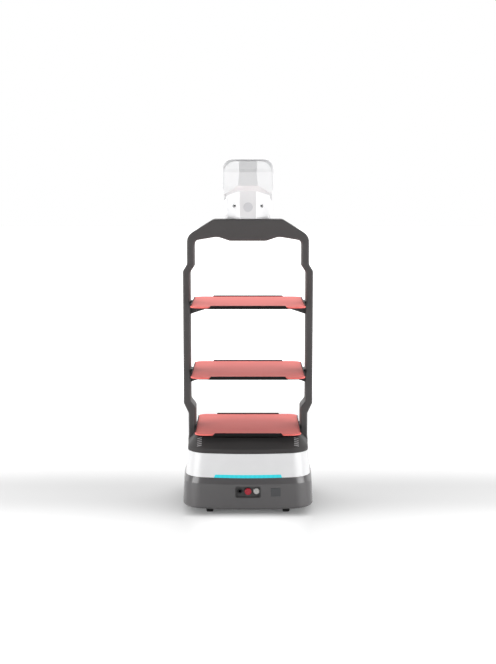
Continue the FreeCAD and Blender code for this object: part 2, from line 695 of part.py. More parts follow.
rear_cover = node("arch_rear_cover", arch_cover("arch_rear_cover"))
node("arch_front_cover", mirrored_copy("arch_front_cover", rear_cover, Vector(0, 1, 0)))
node("arch_core", arch_core())


# ---------------------------------------------------------------- trays

trays = [("upper", "upper_tray", "tray_half_w", "tray_half_d", "wide_inner"),
         ("middle", "middle_tray", "tray_half_w", "tray_half_d", "wide_inner"),
         ("lower", "lower_tray", "low_tray_half_w", "low_tray_half_d", "low_inner")]


def four_fold(quarter):
    """Closed outline from its first quarter's corners, listed clockwise from the y axis to the x axis."""
    right = quarter + [(corner[0], negative(corner[1])) + corner[2:] for corner in reversed(quarter)]
    return right + [(negative(corner[0]), corner[1]) + corner[2:] for corner in reversed(right)]


def rectangle(half_w, half_d, corner=None):
    spots = [(negative(half_w), negative(half_d)), (half_w, negative(half_d)),
             (half_w, half_d), (negative(half_w), half_d)]
    return [spot + (corner,) for spot in spots] if corner else spots


def lip_halves(half_w, half_d):
    """Half lengths of a tray's end lips and side lips; the side lips run up to the round corners."""
    return f"({half_w} - lip_end)", f"({half_d} - tray_corner - wall)"


def tray(label, level, half_w, half_d):
    """Tray pan under the mat: plate, four feet and four upright lips."""
    body = new_body(label)
    bottom = f"{level} - mat_thick - tray_plate"
    plate = new_sketch(body, "XY_Plane", bottom)
    draw_outline(plate, rectangle(f"{half_w} - plate_inset", f"{half_d} - plate_inset",
                                  "tray_corner - plate_inset"))
    pad(body, plate, "tray_plate")
    lip_w, lip_d = lip_halves(half_w, half_d)
    for foot_w, foot_d in ((lip_w, half_d), (half_w, lip_d)):
        foot = new_sketch(body, "XY_Plane", bottom)
        draw_outline(foot, rectangle(foot_w, foot_d))
        pad(body, foot, "tray_plate")
    high = f"{level} + lip_rise"
    for role, half, reach in (("XZ_Plane", lip_w, half_d), ("YZ_Plane", lip_d, half_w)):
        for side in (1, -1):
            lip = new_sketch(body, role, f"{side} * {reach}" if side > 0 else negative(reach))
            draw_outline(lip, [(negative(half), bottom), (half, bottom), (f"{half} - lip_slant", high),
                               (negative(f"{half} - lip_slant"), high)])
            pad(body, lip, "lip_thick", backwards=side > 0)
    return body


def mat(label, level, half_w, half_d):
    """Silicone mat: notched behind the four lips, and out to the tray's full outline at its corners."""
    body = new_body(label)
    bottom = f"{level} - mat_thick"
    flat = new_sketch(body, "XY_Plane", bottom)
    lip_w, lip_d = (f"({half} + loose_fit)" for half in lip_halves(half_w, half_d))
    near_w, near_d = (f"({half} - lip_thick - loose_fit)" for half in (half_w, half_d))
    quarter = [(lip_w, near_d), (lip_w, half_d), (half_w, half_d, "tray_corner"),
               (half_w, lip_d), (near_w, lip_d)]
    draw_outline(flat, four_fold(quarter))
    solid = pad(body, flat, "mat_thick")
    top = number(level)
    fillet(body, solid, lambda edge: all(abs(spot.Z - top) < 1e-6 for spot in edge.Vertexes), "mat_round")
    return body


def tray_bracket(label, level, half_w, post):
    """Pair of arms on the posts' inner faces: gussets, or flat shelves just above the deck."""
    arms = []
    for side in (1, -1):
        body = new_body(f"{label}_{'right' if side > 0 else 'left'}")
        under = f"{level} - mat_thick - tray_plate - loose_fit"
        ear = f"{half_w} + tray_gap"
        top = [(f"{post} - arm_reach", under), (ear, under), (ear, f"{level} + lip_rise"),
               (post, f"{level} + lip_rise")]
        gusset = [(post, f"{under} - arm_drop"), (f"{post} - arm_kink", f"{under} - arm_shoulder"),
                  (f"{post} - arm_reach", f"{under} - arm_tip")]
        shelf = [(post, "deck_top + loose_fit"), (f"{post} - arm_reach", "deck_top + loose_fit")]
        corners = top + (shelf if number(f"{under} - arm_drop") < number("deck_top") else gusset)
        flat = new_sketch(body, "XZ_Plane")
        draw_outline(flat, [(f"{side} * ({across})", height) for across, height in corners])
        pad(body, flat, "2 * arm_half_d", both_ways=True)
        arms.append(body)
    return arms


bracket_arms = []
for name, level, half_w, half_d, post in trays:
    node(f"{name}_tray", tray(f"{name}_tray", level, half_w, half_d))
    node(f"{name}_mat", mat(f"{name}_mat", level, half_w, half_d))
    bracket_arms += tray_bracket(f"{name}_bracket", level, half_w, post)
node("tray_brackets", group("tray_brackets", bracket_arms))


# ---------------------------------------------------------------- chassis and drive

def plain_plate(label, level, thick, half_w, half_d, corner):
    body = new_body(label)
    flat = new_sketch(body, "XY_Plane", level)
    draw_bowed(flat, half_w, half_d, corner)
    pad(body, flat, thick)
    return body


def chassis_plate():
    """Floor plate on the skirt's ledge, cut out over both drive wheels and their arms."""
    inset = "2 * ledge_reach / 3"
    shell_w = between("chassis_level", "skirt_wide", "skirt_crease", "skirt_half_w", "crease_half_w")
    shell_d = between("chassis_level", "skirt_wide", "skirt_crease", "skirt_half_d", "crease_half_d")
    body = plain_plate("chassis_plate", "chassis_level", "chassis_thick",
                       f"{shell_w} - {inset}", f"{shell_d} - {inset}", f"base_corner - {inset}")
    for side in (1, -1):
        inner, outer = "swing_mid_x - swing_thick", "wheel_mid_x + wheel_width / 2 + wheel_room"
        near, far = "wheel_radius + wheel_room", "wheel_radius + wheel_room"
        bay = new_sketch(body, "XY_Plane", "chassis_level + 2 * chassis_thick")
        draw_outline(bay, [(f"{side} * ({inner})", negative(near)), (f"{side} * ({outer})", negative(near)),
                           (f"{side} * ({outer})", far), (f"{side} * ({inner})", far)])
        pocket(body, bay, "4 * chassis_thick")
    return body


def deck_plate():
    """Upper plate: carries the band, the lid and the arch."""
    slack = "(wall + upper_inset)"
    return plain_plate("deck_plate", "upper_level", "upper_thick",
                       f"band_half_w - {slack}", f"band_half_d - {slack}", f"base_corner - {slack}")


def deck_posts():
    """Four turned posts between the chassis plate and the upper plate."""
    posts = []
    for x in (-1, 1):
        for y in (-1, 1):
            posts.append(rod("deck_post", "z", (f"{x} * post_spacing", f"{y} * post_spacing",
                                                "chassis_level + chassis_thick"),
                             "post_radius", "upper_level - chassis_level - chassis_thick"))
    return group("deck_posts", posts)


def turned(label, profile, place, rotation):
    """Solid of revolution about its own z axis, from a closed half profile (radius, height)."""
    body = new_body(label)
    flat = draw_outline(new_sketch(body, "XZ_Plane"), profile)
    revolve(body, flat)
    body.Placement = Placement(Vector(), rotation)
    for axis, text in zip("xyz", place):
        bind(body, f"Placement.Base.{axis}", text)
    doc.recompute()
    return body


def ring_profile(inner, outer, low, high, rounding=None):
    """Half section of a ring, with its outer corners rounded if asked."""
    rounds = (rounding,) if rounding else ()
    return [(inner, low), (outer, low) + rounds, (outer, high) + rounds, (inner, high)]


def drive_side(name, side):
    """Everything on one side's sprung arm; side is 1 on the right and -1 on the left."""
    sideways = turns["x"] if side > 0 else Rotation(Vector(0, 1, 0), -90)
    middle = (f"{side} * wheel_mid_x", "0", "wheel_radius")
    half = "wheel_width / 2"
    section = ring_profile("hub_radius", "wheel_radius", negative(half), half, "tread_round")
    tread = turned(f"{name}_tyre", section, middle, sideways)
    node(f"{name}_tyre", tread)
    bore, dish = "axle_radius + run_fit", "hub_radius - hub_rim"
    hub = turned(f"{name}_hub_motor",
                 [(bore, negative(half)), ("hub_radius", negative(half)), ("hub_radius", half), (dish, half),
                  (f"{dish} - hub_dish", f"{half} - hub_dish"), ("hub_boss", f"{half} - hub_dish"),
                  ("hub_boss", half), (bore, half)], middle, sideways)
    node(f"{name}_hub_motor", hub)
    node(f"{name}_swing_arm", swing_arm(f"{name}_swing_arm", side))
    node(f"{name}_spring", spring(f"{name}_spring", side))


def swing_arm(label, side):
    """Trailing arm: pivot eye in front, motor axle in the middle, spring seat behind."""
    body = new_body(label)
    flat = new_sketch(body, "YZ_Plane", f"{side} * swing_mid_x")
    low, high = "wheel_radius - swing_half_h", "wheel_radius + swing_half_h"
    draw_outline(flat, [("-spring_y - spring_radius - swing_end", low),
                        ("pivot_y + swing_eye", low, "swing_half_h - run_fit"),
                        ("pivot_y + swing_eye", high, "swing_half_h - run_fit"),
                        ("-spring_y - spring_radius - swing_end", high)])
    pad(body, flat, "swing_thick", both_ways=True)
    seat = new_sketch(body, "XY_Plane", "wheel_radius + swing_half_h - wall")
    draw_circle(seat, f"{side} * swing_mid_x", "-spring_y", "spring_radius + spring_wire / 2")
    pad(body, seat, "wall")
    guide = new_sketch(body, "XY_Plane", "wheel_radius + swing_half_h")
    draw_circle(guide, f"{side} * swing_mid_x", "-spring_y", "spring_radius - spring_wire")
    pad(body, guide, "guide_long")
    eye = new_sketch(body, "YZ_Plane", f"{side} * swing_mid_x")
    draw_circle(eye, "pivot_y", "wheel_radius", "pivot_radius + run_fit")
    pocket(body, eye, "2 * swing_thick", both_ways=True)
    axle = new_sketch(body, "YZ_Plane", f"{side} * swing_mid_x")
    draw_circle(axle, "0", "wheel_radius", "axle_radius")
    pad(body, axle, "wheel_mid_x + wheel_width / 2 - swing_mid_x - wall", backwards=side < 0)
    return body


def spring(label, side):
    """Coil spring between the arm's seat and the bracket, with both ends on their seats."""
    item = doc.addObject("Part::Feature", label)
    wire = number("spring_wire / 2")
    low = number("wheel_radius + swing_half_h") + wire
    high = number("spring_high") - wire
    radius, turns_count = number("spring_radius"), number("spring_turns")
    helix = Part.makeHelix((high - low) / turns_count, high - low, radius)
    helix.translate(Vector(0, 0, low))
    start = Part.Wire(Part.makeCircle(wire, Vector(radius, 0, low), Vector(0, 1, 0)))
    item.Shape = Part.Wire(helix.Edges).makePipeShell([start], True, True)
    item.Placement = Placement(Vector(side * number("swing_mid_x"), -number("spring_y"), 0), Rotation())
    return check(item)


def suspension_bracket(label, side):
    """Chassis bracket: two ears round the arm's eye with the pivot pin, and an upright over the spring."""
    x = "swing_mid_x"
    floor = "chassis_level + chassis_thick"
    pieces = []

    def slab(low, high):
        across = sorted((f"{side} * ({low[0]})", f"{side} * ({high[0]})"), key=number)
        piece = block(f"{label}_slab", (across[0],) + low[1:], (across[1],) + high[1:])
        pieces.append(piece)

    eye_room = "(swing_thick / 2 + loose_fit)"
    for near, far in ((f"{x} + {eye_room}", f"{x} + {eye_room} + ear_thick"),
                      (f"{x} - {eye_room} - ear_thick", f"{x} - {eye_room}")):
        slab((near, "pivot_y - ear_half", floor), (far, "pivot_y + ear_half", "wheel_radius + ear_half"))
    slab((f"{x} - {eye_room} - ear_thick", "pivot_y + swing_eye + loose_fit", floor),
         (f"{x} + {eye_room} + ear_thick", "pivot_y + ear_half + wall", "wheel_radius + ear_half"))
    behind = "-wheel_radius - wheel_room - loose_fit"
    slab((f"{x} - swing_thick", f"{behind} - ear_thick", floor),
         (f"{x} + swing_thick", behind, "spring_high + ear_thick"))
    slab((f"{x} - swing_thick", behind, "spring_high"),
         (f"{x} + swing_thick", "spring_radius + 2 * spring_wire - spring_y", "spring_high + ear_thick"))
    pin_start = f"{x} - {eye_room} - ear_thick" if side > 0 else f"-1 * ({x} + {eye_room} + ear_thick)"
    pieces.append(rod(f"{label}_pin", "x", (pin_start, "pivot_y", "wheel_radius"), "pivot_radius",
                      "swing_thick + 2 * loose_fit + 2 * ear_thick"))
    return join(label, pieces)


node("chassis_plate", chassis_plate())
node("deck_plate", deck_plate())
node("deck_posts", deck_posts())
for name, side in (("right", 1), ("left", -1)):
    drive_side(name, side)
node("suspension_brackets", group("suspension_brackets",
                                  [suspension_bracket(f"{name}_suspension_bracket", side)
                                   for name, side in (("right", 1), ("left", -1))]))


# ---------------------------------------------------------------- casters

def caster_housing(label, x, y):
    """Top plate and fixed race, bored for the fork's kingpin."""
    body = new_body(label)
    cup_low = "caster_cup_low"
    plate = new_sketch(body, "XY_Plane", "chassis_level - caster_plate")
    draw_outline(plate, rectangle("caster_plate_half", "caster_plate_half", "caster_plate_round"))
    pad(body, plate, "caster_plate")
    cup = new_sketch(body, "XY_Plane", cup_low)
    draw_circle(cup, "0", "0", "swivel_radius")
    pad(body, cup, f"chassis_level - {cup_low}")
    bore = new_sketch(body, "XY_Plane", cup_low)
    draw_circle(bore, "0", "0", "kingpin_radius + run_fit")
    pocket(body, bore, f"chassis_level - caster_plate - {cup_low} + loose_fit", backwards=True)
    bind(body, "Placement.Base.x", x)
    bind(body, "Placement.Base.y", y)
    return body


def caster_fork(label, x, y):
    """Swivelling fork with its kingpin, two raked legs and the wheel's axle."""
    body = new_body(label)
    crown_top = "caster_cup_low - loose_fit"
    crown = new_sketch(body, "XY_Plane", f"{crown_top} - crown_thick")
    draw_circle(crown, "0", "0", "swivel_radius")
    pad(body, crown, "crown_thick")
    pin = new_sketch(body, "XY_Plane", crown_top)
    draw_circle(pin, "0", "0", "kingpin_radius")
    pad(body, pin, "chassis_level - caster_plate - caster_cup_low")
    inner = "caster_width / 2 + fork_gap"
    for side in (1, -1):
        leg = new_sketch(body, "YZ_Plane", f"{side} * ({inner})")
        draw_outline(leg, [("leg_root", crown_top), ("leg_root", f"{crown_top} - 2 * crown_thick"),
                           ("-caster_trail + leg_boss", "caster_radius - leg_boss", "leg_boss - wall / 2"),
                           ("-caster_trail - leg_boss", "caster_radius - leg_boss", "leg_boss - wall / 2"),
                           ("-leg_root", f"{crown_top} - 2 * crown_thick"), ("-leg_root", crown_top)])
        pad(body, leg, "fork_leg", backwards=side < 0)
    axle = new_sketch(body, "YZ_Plane")
    draw_circle(axle, "-caster_trail", "caster_radius", "caster_axle")
    pad(body, axle, f"2 * ({inner}) + 2 * fork_leg", both_ways=True)
    bind(body, "Placement.Base.x", x)
    bind(body, "Placement.Base.y", y)
    return body


casters = [("rear_right", 1, -1), ("rear_left", -1, -1), ("front_right", 1, 1), ("front_left", -1, 1)]
housings = []
for name, x, y in casters:
    place = (f"{x} * caster_x", f"{y} * caster_y")
    housings.append(caster_housing(f"{name}_caster_housing", *place))
    node(f"{name}_caster_fork", caster_fork(f"{name}_caster_fork", *place))
    node(f"{name}_caster_wheel",
         turned(f"{name}_caster_wheel",
                ring_profile("caster_axle + run_fit", "caster_radius", "-caster_width / 2",
                             "caster_width / 2", "caster_round"),
                (place[0], f"{place[1]} - caster_trail", "caster_radius"), turns["x"]))
node("caster_plates", group("caster_plates", housings))


# ---------------------------------------------------------------- inside the base

def battery_pack():
    body = new_body("battery_pack")
    flat = new_sketch(body, "XY_Plane", "chassis_level + chassis_thick")
    rear, front = "-battery_rear", "-battery_front"
    draw_outline(flat, [("-battery_half_w", rear, "pack_round"), ("battery_half_w", rear, "pack_round"),
                        ("battery_half_w", front, "pack_round"), ("-battery_half_w", front, "pack_round")])
    solid = pad(body, flat, "battery_high")
    top = number("chassis_level + chassis_thick + battery_high")

    def on_top(edge):
        return all(abs(spot.Z - top) < 1e-6 for spot in edge.Vertexes)

    fillet(body, solid, on_top, "wall", "Chamfer")
    grip = new_sketch(body, "XY_Plane", "chassis_level + chassis_thick + battery_high")
    middle = "-battery_rear / 2 - battery_front / 2"
    draw_outline(grip, [("-grip_half", f"{middle} - wall"), ("grip_half", f"{middle} - wall"),
                        ("grip_half", f"{middle} + wall"), ("-grip_half", f"{middle} + wall")])
    pocket(body, grip, "4 * wall")
    return body


def main_controller():
    """Computer and motor driver in one finned case."""
    body = new_body("main_controller")
    low = "chassis_level + chassis_thick"
    flat = new_sketch(body, "XY_Plane", low)
    draw_outline(flat, [("-case_half_w", "case_rear"), ("case_half_w", "case_rear"),
                        ("case_half_w", "case_front"), ("-case_half_w", "case_front")])
    pad(body, flat, "case_high")
    count = 12
    for k in range(count):
        fin = new_sketch(body, "XY_Plane", f"{low} + case_high")
        start = f"-case_half_w + {k} * (2 * case_half_w - fin_thick) / {count - 1}"
        draw_outline(fin, [(start, "case_rear"), (f"{start} + fin_thick", "case_rear"),
                           (f"{start} + fin_thick", "case_front"), (start, "case_front")])
        pad(body, fin, "fin_high")
    return body


def lidar_stand():
    """Folded bracket that holds the scanner at its slot's height."""
    floor = "chassis_level + chassis_thick"
    near, far = "lidar_y - lidar_radius", "lidar_y + lidar_radius"
    shelf = block("stand_shelf", ("-lidar_radius - wall", near, "lidar_level - wall"),
                  ("lidar_radius + wall", far, "lidar_level"))
    legs = [block("stand_leg", (f"{x} - wall", near, floor), (x, far, "lidar_level"))
            for x in ("-lidar_radius", "lidar_radius + wall")]
    feet = [block("stand_foot", (low, near, floor), (high, far, f"{floor} + wall"))
            for low, high in (("-lidar_radius - 6 * wall", "-lidar_radius"),
                              ("lidar_radius", "lidar_radius + 6 * wall"))]
    return join("lidar_stand", [shelf] + legs + feet)


def lidar_base():
    spindle_top = "slot_high - 2 * wall - loose_fit"
    return turned("lidar_base", [("0", "lidar_level"), ("lidar_radius", "lidar_level"),
                                 ("lidar_radius", "slot_low", "wall"), ("spindle_radius", "slot_low"),
                                 ("spindle_radius", spindle_top), ("0", spindle_top)],
                  ("0", "lidar_y", "0"), Rotation())


def lidar_head():
    """Spinning scanner head with its bore over the base's spindle and two optics windows."""
    bore = "spindle_radius + run_fit"
    low, high = "slot_low + loose_fit", "slot_high - wall"
    head = turned("scanner_head", [(bore, low), ("lidar_radius - wall", low),
                                   ("lidar_radius - wall", high, "wall"), ("0", high),
                                   ("0", "slot_high - 2 * wall"), (bore, "slot_high - 2 * wall")],
                  ("0", "lidar_y", "0"), Rotation())
    face = "lidar_y + lidar_radius - 2 * wall"
    optics = [rod("optic", "y", (x, face, "slot_low / 2 + slot_high / 2"), "optic_radius", "2 * wall")
              for x in ("-2 * optic_radius + wall", "2 * optic_radius - wall")]
    return cut("lidar_head", head, join("optics", optics))


node("battery_pack", battery_pack())
node("main_controller", main_controller())
node("lidar_stand", lidar_stand())
node("lidar_base", lidar_base())
node("lidar_head", lidar_head())


# ---------------------------------------------------------------- rear panel

outwards = Rotation(Vector(1, 0, 0), 90)


def switch_panel():
    """Recessed plate with a rim, a hidden flange behind the skirt and holes for its controls."""
    body = new_body("switch_panel")
    low, high = "panel_mid - panel_half_h", "panel_mid + panel_half_h"
    face = new_sketch(body, "XZ_Plane", "panel_front")
    draw_outline(face, box_corners("panel_half_w", low, high, "panel_corner"))
    pad(body, face, "panel_front - panel_floor + wall", backwards=True)
    back = new_sketch(body, "XZ_Plane", "panel_floor - wall")
    draw_outline(back, box_corners("panel_half_w + 2 * wall", "chassis_level + loose_fit", f"{high} + wall",
                                   "wall"))
    pad(body, back, "wall + flange_proud")
    recess = new_sketch(body, "XZ_Plane", "panel_front")
    draw_outline(recess, box_corners("panel_half_w - panel_rim", f"{low} + panel_rim", f"{high} - panel_rim",
                                     "panel_corner - panel_rim"))
    pocket(body, recess, "panel_front - panel_floor")
    holes = new_sketch(body, "XZ_Plane", "panel_floor")
    for x, radius in (("-socket_x", "socket_body"), ("0", "stop_body"), ("power_x", "power_body")):
        draw_circle(holes, x, "control_level", f"{radius} + loose_fit")
    pocket(body, holes, "2 * wall")
    return body


def charge_socket():
    front = "panel_floor + control_flange"
    return turned("charge_socket",
                  [("0", f"{front} - socket_deep - wall"), ("socket_body", f"{front} - socket_deep - wall"),
                   ("socket_body", "panel_floor"), ("socket_body + wall / 2", "panel_floor"),
                   ("socket_body + wall / 2", front), ("socket_bore", front),
                   ("socket_bore", f"{front} - socket_deep"), ("0", f"{front} - socket_deep")],
                  ("-socket_x", "0", "control_level"), outwards)


def emergency_stop_body():
    front = "panel_floor + control_flange"
    bore = "stem_radius + run_fit"
    return turned("estop_body",
                  [(bore, "panel_floor - stop_long"), ("stop_body", "panel_floor - stop_long"),
                   ("stop_body", "panel_floor"), ("stop_body + wall", "panel_floor"),
                   ("stop_body + wall", front), (bore, front)], ("0", "0", "control_level"), outwards)


def emergency_stop_button():
    """Red mushroom: domed head on a stem."""
    rest = "panel_floor + control_flange + stop_travel + loose_fit"
    return turned("estop_button",
                  [("0", "panel_floor - stop_long / 2"), ("stem_radius", "panel_floor - stop_long / 2"),
                   ("stem_radius", rest), ("stop_radius", rest),
                   ("stop_radius", f"{rest} + stop_thick", "stop_round"),
                   ("0", f"{rest} + stop_thick + stop_dome")], ("0", "0", "control_level"), outwards)


def power_switch_body():
    front = "panel_floor + ring_high"
    bore = "stem_radius + run_fit"
    return turned("power_switch_body",
                  [(bore, "panel_floor - power_long"), ("power_body", "panel_floor - power_long"),
                   ("power_body", "panel_floor"), ("power_radius", "panel_floor"),
                   ("power_radius", front, "ring_round"),
                   ("power_cap + loose_fit / 2", front), ("power_cap + loose_fit / 2", "panel_floor"),
                   (bore, "panel_floor")], ("power_x", "0", "control_level"), outwards)


def power_button():
    rest = "panel_floor + power_travel + loose_fit"
    return turned("power_button",
                  [("0", "panel_floor - power_long / 2"), ("stem_radius", "panel_floor - power_long / 2"),
                   ("stem_radius", rest), ("power_cap", rest),
                   ("power_cap", "panel_floor + ring_high + loose_fit"),
                   ("0", "panel_floor + ring_high + loose_fit")],
                  ("power_x", "0", "control_level"), outwards)


def service_flap():
    """Hatch as thick as the skirt, with a round top edge and two hinge pins in the skirt's bores."""
    body = new_body("service_flap")
    top, bottom = "flap_h / 2", "-flap_h / 2"
    flat = new_sketch(body, "YZ_Plane")
    draw_outline(flat, [("0", bottom), ("wall", bottom), ("wall", top, "wall / 2 - run_fit"),
                        ("0", top, "wall / 2 - run_fit")])
    pad(body, flat, "flap_w", both_ways=True)
    pins = new_sketch(body, "YZ_Plane")
    draw_circle(pins, "wall / 2", f"{top} - wall / 2", "flap_pin")
    pad(body, pins, "flap_w + 2 * flap_pin_long", both_ways=True)
    body.Placement = flap_frame(0)
    return body


def service_port():
    """Cup behind the flap with two sockets in its floor."""
    body = new_body("service_port")
    frame_face = new_sketch(body, "XZ_Plane", "-wall - loose_fit")
    draw_outline(frame_face, box_corners("flap_w / 2 + 2 * wall", "-flap_h / 2 - 2 * wall",
                                         "flap_h / 2 + wall", "wall"))
    pad(body, frame_face, "wall / 2", backwards=True)
    cup = new_sketch(body, "XZ_Plane", "-wall - loose_fit")
    draw_outline(cup, box_corners("flap_w / 2 + wall / 2", "-flap_h / 2 - wall / 2",
                                  "flap_h / 2 + wall / 2"))
    pad(body, cup, "cup_deep", backwards=True)
    hollow = new_sketch(body, "XZ_Plane", "-wall - loose_fit")
    draw_outline(hollow, box_corners("flap_w / 2 - wall / 2", "-flap_h / 2 + wall / 2",
                                     "flap_h / 2 - wall / 2"))
    pocket(body, hollow, "cup_deep - wall / 2")
    for x, half_w, half_h in (("-flap_w / 4", "lan_half_w", "lan_half_h"),
                              ("flap_w / 4", "usb_half_w", "usb_half_h")):
        shell = new_sketch(body, "XZ_Plane", "-wall - loose_fit - cup_deep + wall / 2")
        spots = [(-1, -1), (1, -1), (1, 1), (-1, 1)]
        draw_outline(shell, [(f"{x} + {a} * ({half_w} + port_wall)", f"{b} * ({half_h} + port_wall)")
                             for a, b in spots])
        draw_outline(shell, [(f"{x} + {a} * {half_w}", f"{b} * {half_h}") for a, b in spots])
        pad(body, shell, "port_long")
    body.Placement = flap_frame(0)
    return body


for label, maker in (("switch_panel", switch_panel), ("charge_socket", charge_socket),
                     ("estop_body", emergency_stop_body), ("estop_button", emergency_stop_button),
                     ("power_switch_body", power_switch_body), ("power_button", power_button),
                     ("service_flap", service_flap), ("service_port", service_port)):
    node(label, maker())


# ---------------------------------------------------------------- head

def ledge_height(y):
    return f"head_ledge - ledge_drop / ledge_run * ({y} + ledge_facet_y)"


def front_of_head(level):
    return f"head_front - head_lean * ({level} - bezel_low)"


def side_prism(name, corners):
    """Solid across the whole head from corners (y, z)."""
    body = new_body(name)
    flat = draw_outline(new_sketch(body, "YZ_Plane"), corners)
    pad(body, flat, "4 * head_half_w", both_ways=True)
    return body


def head_form(name, inset, beyond):
    """Faceted hood: lofted facets, a rounded front outline and a sloping underside."""
    sections = [("head_low", "ledge_facet_w", "ledge_facet_y", "ledge_side_y"),
                ("head_ledge", "ledge_facet_w", "ledge_facet_y", "ledge_side_y"),
                ("head_crease", "crease_facet_w", "crease_facet_y", "crease_side_y"),
                ("head_chamfer", "chamfer_facet_w", "chamfer_facet_y", "chamfer_side_y"),
                ("head_top", "crown_facet_w", "crown_facet_y", "crown_side_y")]
    hood = new_body(name + "_facets")
    flats = []
    for level, facet_w, facet_y, side_y in sections:
        flat = new_sketch(hood, "XY_Plane", level)
        front, wide = f"{front_of_head(level)} + {beyond}", f"head_half_w - {inset}"
        rear, narrow, flank = f"-{facet_y} + {inset}", f"{facet_w} - {inset} / 2", f"-{side_y} + {inset} / 2"
        draw_outline(flat, [(negative(wide), front), (negative(wide), flank), (negative(narrow), rear),
                            (narrow, rear), (wide, flank), (wide, front)])
        flats.append(check(flat))
    loft(hood, flats)
    outline = new_body(name + "_outline")
    flat = new_sketch(outline, "XZ_Plane")
    wide, top = f"head_half_w - {inset}", f"head_top - {inset}"
    draw_outline(flat, [(negative(wide), "head_low - wall"), (wide, "head_low - wall"),
                        (wide, top, f"head_round - {inset}"), (negative(wide), top, f"head_round - {inset}")])
    pad(outline, flat, "6 * head_half_w", both_ways=True)
    rear, front = "-2 * ledge_facet_y", "2 * head_front"
    corners = [(rear, f"{ledge_height(rear)} + {inset}"), (front, f"{ledge_height(front)} + {inset}"),
               (front, "head_top + wall"), (rear, "head_top + wall")]
    if inset != "0":
        # the inside stops short of the front up to the display, which leaves a wall below the screen
        face, sill = f"head_front - {inset}", "bezel_low + display_inset"
        corners[1:2] = [(face, f"{ledge_height(face)} + {inset}"), (face, sill), (front, sill)]
    above = side_prism(name + "_above", corners)
    return common(name + "_form", common(name + "_round", hood, outline), above)


def neck_form(name, inset, low, high):
    """Five-sided column between two sloping heights; low and high are functions of y."""
    body = new_body(name + "_column")
    flat = new_sketch(body, "XY_Plane", "bar_top")
    right = [(f"neck_side_w - {inset}", f"neck_front - {inset}"),
             (f"neck_wide_w - {inset}", f"-neck_wide_y + {inset}"),
             (f"neck_facet_w - {inset}", f"-neck_facet_y + {inset}")]
    left = [(negative(x), y) for x, y in right]
    draw_outline(flat, right + left[::-1])
    pad(body, flat, "2 * head_half_w")
    rear, front = "-2 * neck_facet_y", "2 * neck_front"
    profile = side_prism(name + "_profile", [(rear, low(rear)), (front, low(front)),
                                             (front, high(front)), (rear, high(rear))])
    return common(name + "_form", body, profile)


def neck_bottom(y):
    return f"neck_low + neck_low_rise / (neck_facet_y - neck_wide_y) * ({y} + neck_facet_y)"


def neck_facet_frame(side, across, level):
    """Placement on a neck side facet: y inwards."""
    run, rise = number("neck_wide_w - neck_facet_w"), number("neck_facet_y - neck_wide_y")
    turn = math.atan2(rise, run)
    y = -number("neck_facet_y") + (across - number("neck_facet_w")) * rise / run
    return Placement(Vector(side * across, y, level), Rotation(Vector(0, 0, 1), side * math.degrees(turn)))


def facet_rod(name, side, radius, near, far):
    """Cylinder normal to a side facet, from one depth to another."""
    item = rod(name, "y", ("0", "0", "0"), radius, f"{far} - {near}")
    frame = neck_facet_frame(side, number("screw_x"), number("screw_level"))
    item.setExpression("Placement.Base.x", None)
    item.setExpression("Placement.Base.y", None)
    item.setExpression("Placement.Base.z", None)
    item.Placement = frame * Placement(Vector(0, number(near), 0), turns["y"])
    return check(item)


def head_lower_shell():
    """Neck housing with two screw wells and a round recess."""
    solid = neck_form("neck", "0", neck_bottom, ledge_height)
    tools = [facet_rod("screw_well", side, "well_radius", "-well_deep", "well_deep") for side in (1, -1)]
    tools.append(rod("disc_recess", "y", ("0", "-neck_facet_y - wall", "disc_level"),
                     "disc_radius + loose_fit", "wall + disc_thick / 2"))
    return cut("head_lower_shell", solid, join("neck_wells", tools))


def head_rear_shell():
    solid = head_form("hood", "0", "0")
    hollow = head_form("hood_inside", "wall", "wall")
    return cut("head_rear_shell", solid, hollow)


def bezel_frame():
    """Placement of the leaning screen unit: x across, y forwards, z up the screen."""
    lean = math.degrees(math.atan(number("head_lean")))
    foot = Vector(0, number("head_front + loose_fit"), number("bezel_low"))
    return Placement(foot, Rotation(Vector(1, 0, 0), lean))


def bezel_plate(label, inset, start, thick, corner):
    """Rounded plate of the screen unit, between two depths of the leaning frame."""
    body = new_body(label)
    flat = new_sketch(body, "XZ_Plane", negative(start))
    high = f"bezel_high - bezel_low - {inset}"
    draw_outline(flat, box_corners(f"bezel_half_w - {inset}", inset, high, corner))
    return body, pad(body, flat, thick, backwards=True)


def head_bezel():
    """Screen surround: rounded both sides, stepped for the glass and hollow for the display."""
    body, solid = bezel_plate("head_bezel", "0", "0", "bezel_thick", "bezel_round")
    limits = (0, number("bezel_thick"))

    def on_face(edge):
        return any(all(abs(spot.Y - face) < 1e-6 for spot in edge.Vertexes) for face in limits)

    fillet(body, solid, on_face, "bezel_edge")
    for inset, deep, corner in (("glass_inset", "glass_thick", "bezel_round - glass_inset"),
                                ("display_inset", "bezel_thick - wall", "wall")):
        flat = new_sketch(body, "XZ_Plane", "-bezel_thick")
        draw_outline(flat, box_corners(f"bezel_half_w - {inset}", inset,
                                       f"bezel_high - bezel_low - {inset}", corner))
        pocket(body, flat, deep, backwards=True)
    body.Placement = bezel_frame()
    return body


def screen_glass():
    body, _ = bezel_plate("screen_glass", "(glass_inset + loose_fit)", "bezel_thick - glass_thick",
                          "glass_thick", "bezel_round - glass_inset")
    body.Placement = bezel_frame()
    return body


def display_module():
    body, _ = bezel_plate("display_module", "(display_inset + loose_fit)",
                          "bezel_thick - glass_thick - display_thick", "display_thick", "wall")
    body.Placement = bezel_frame()
    return body


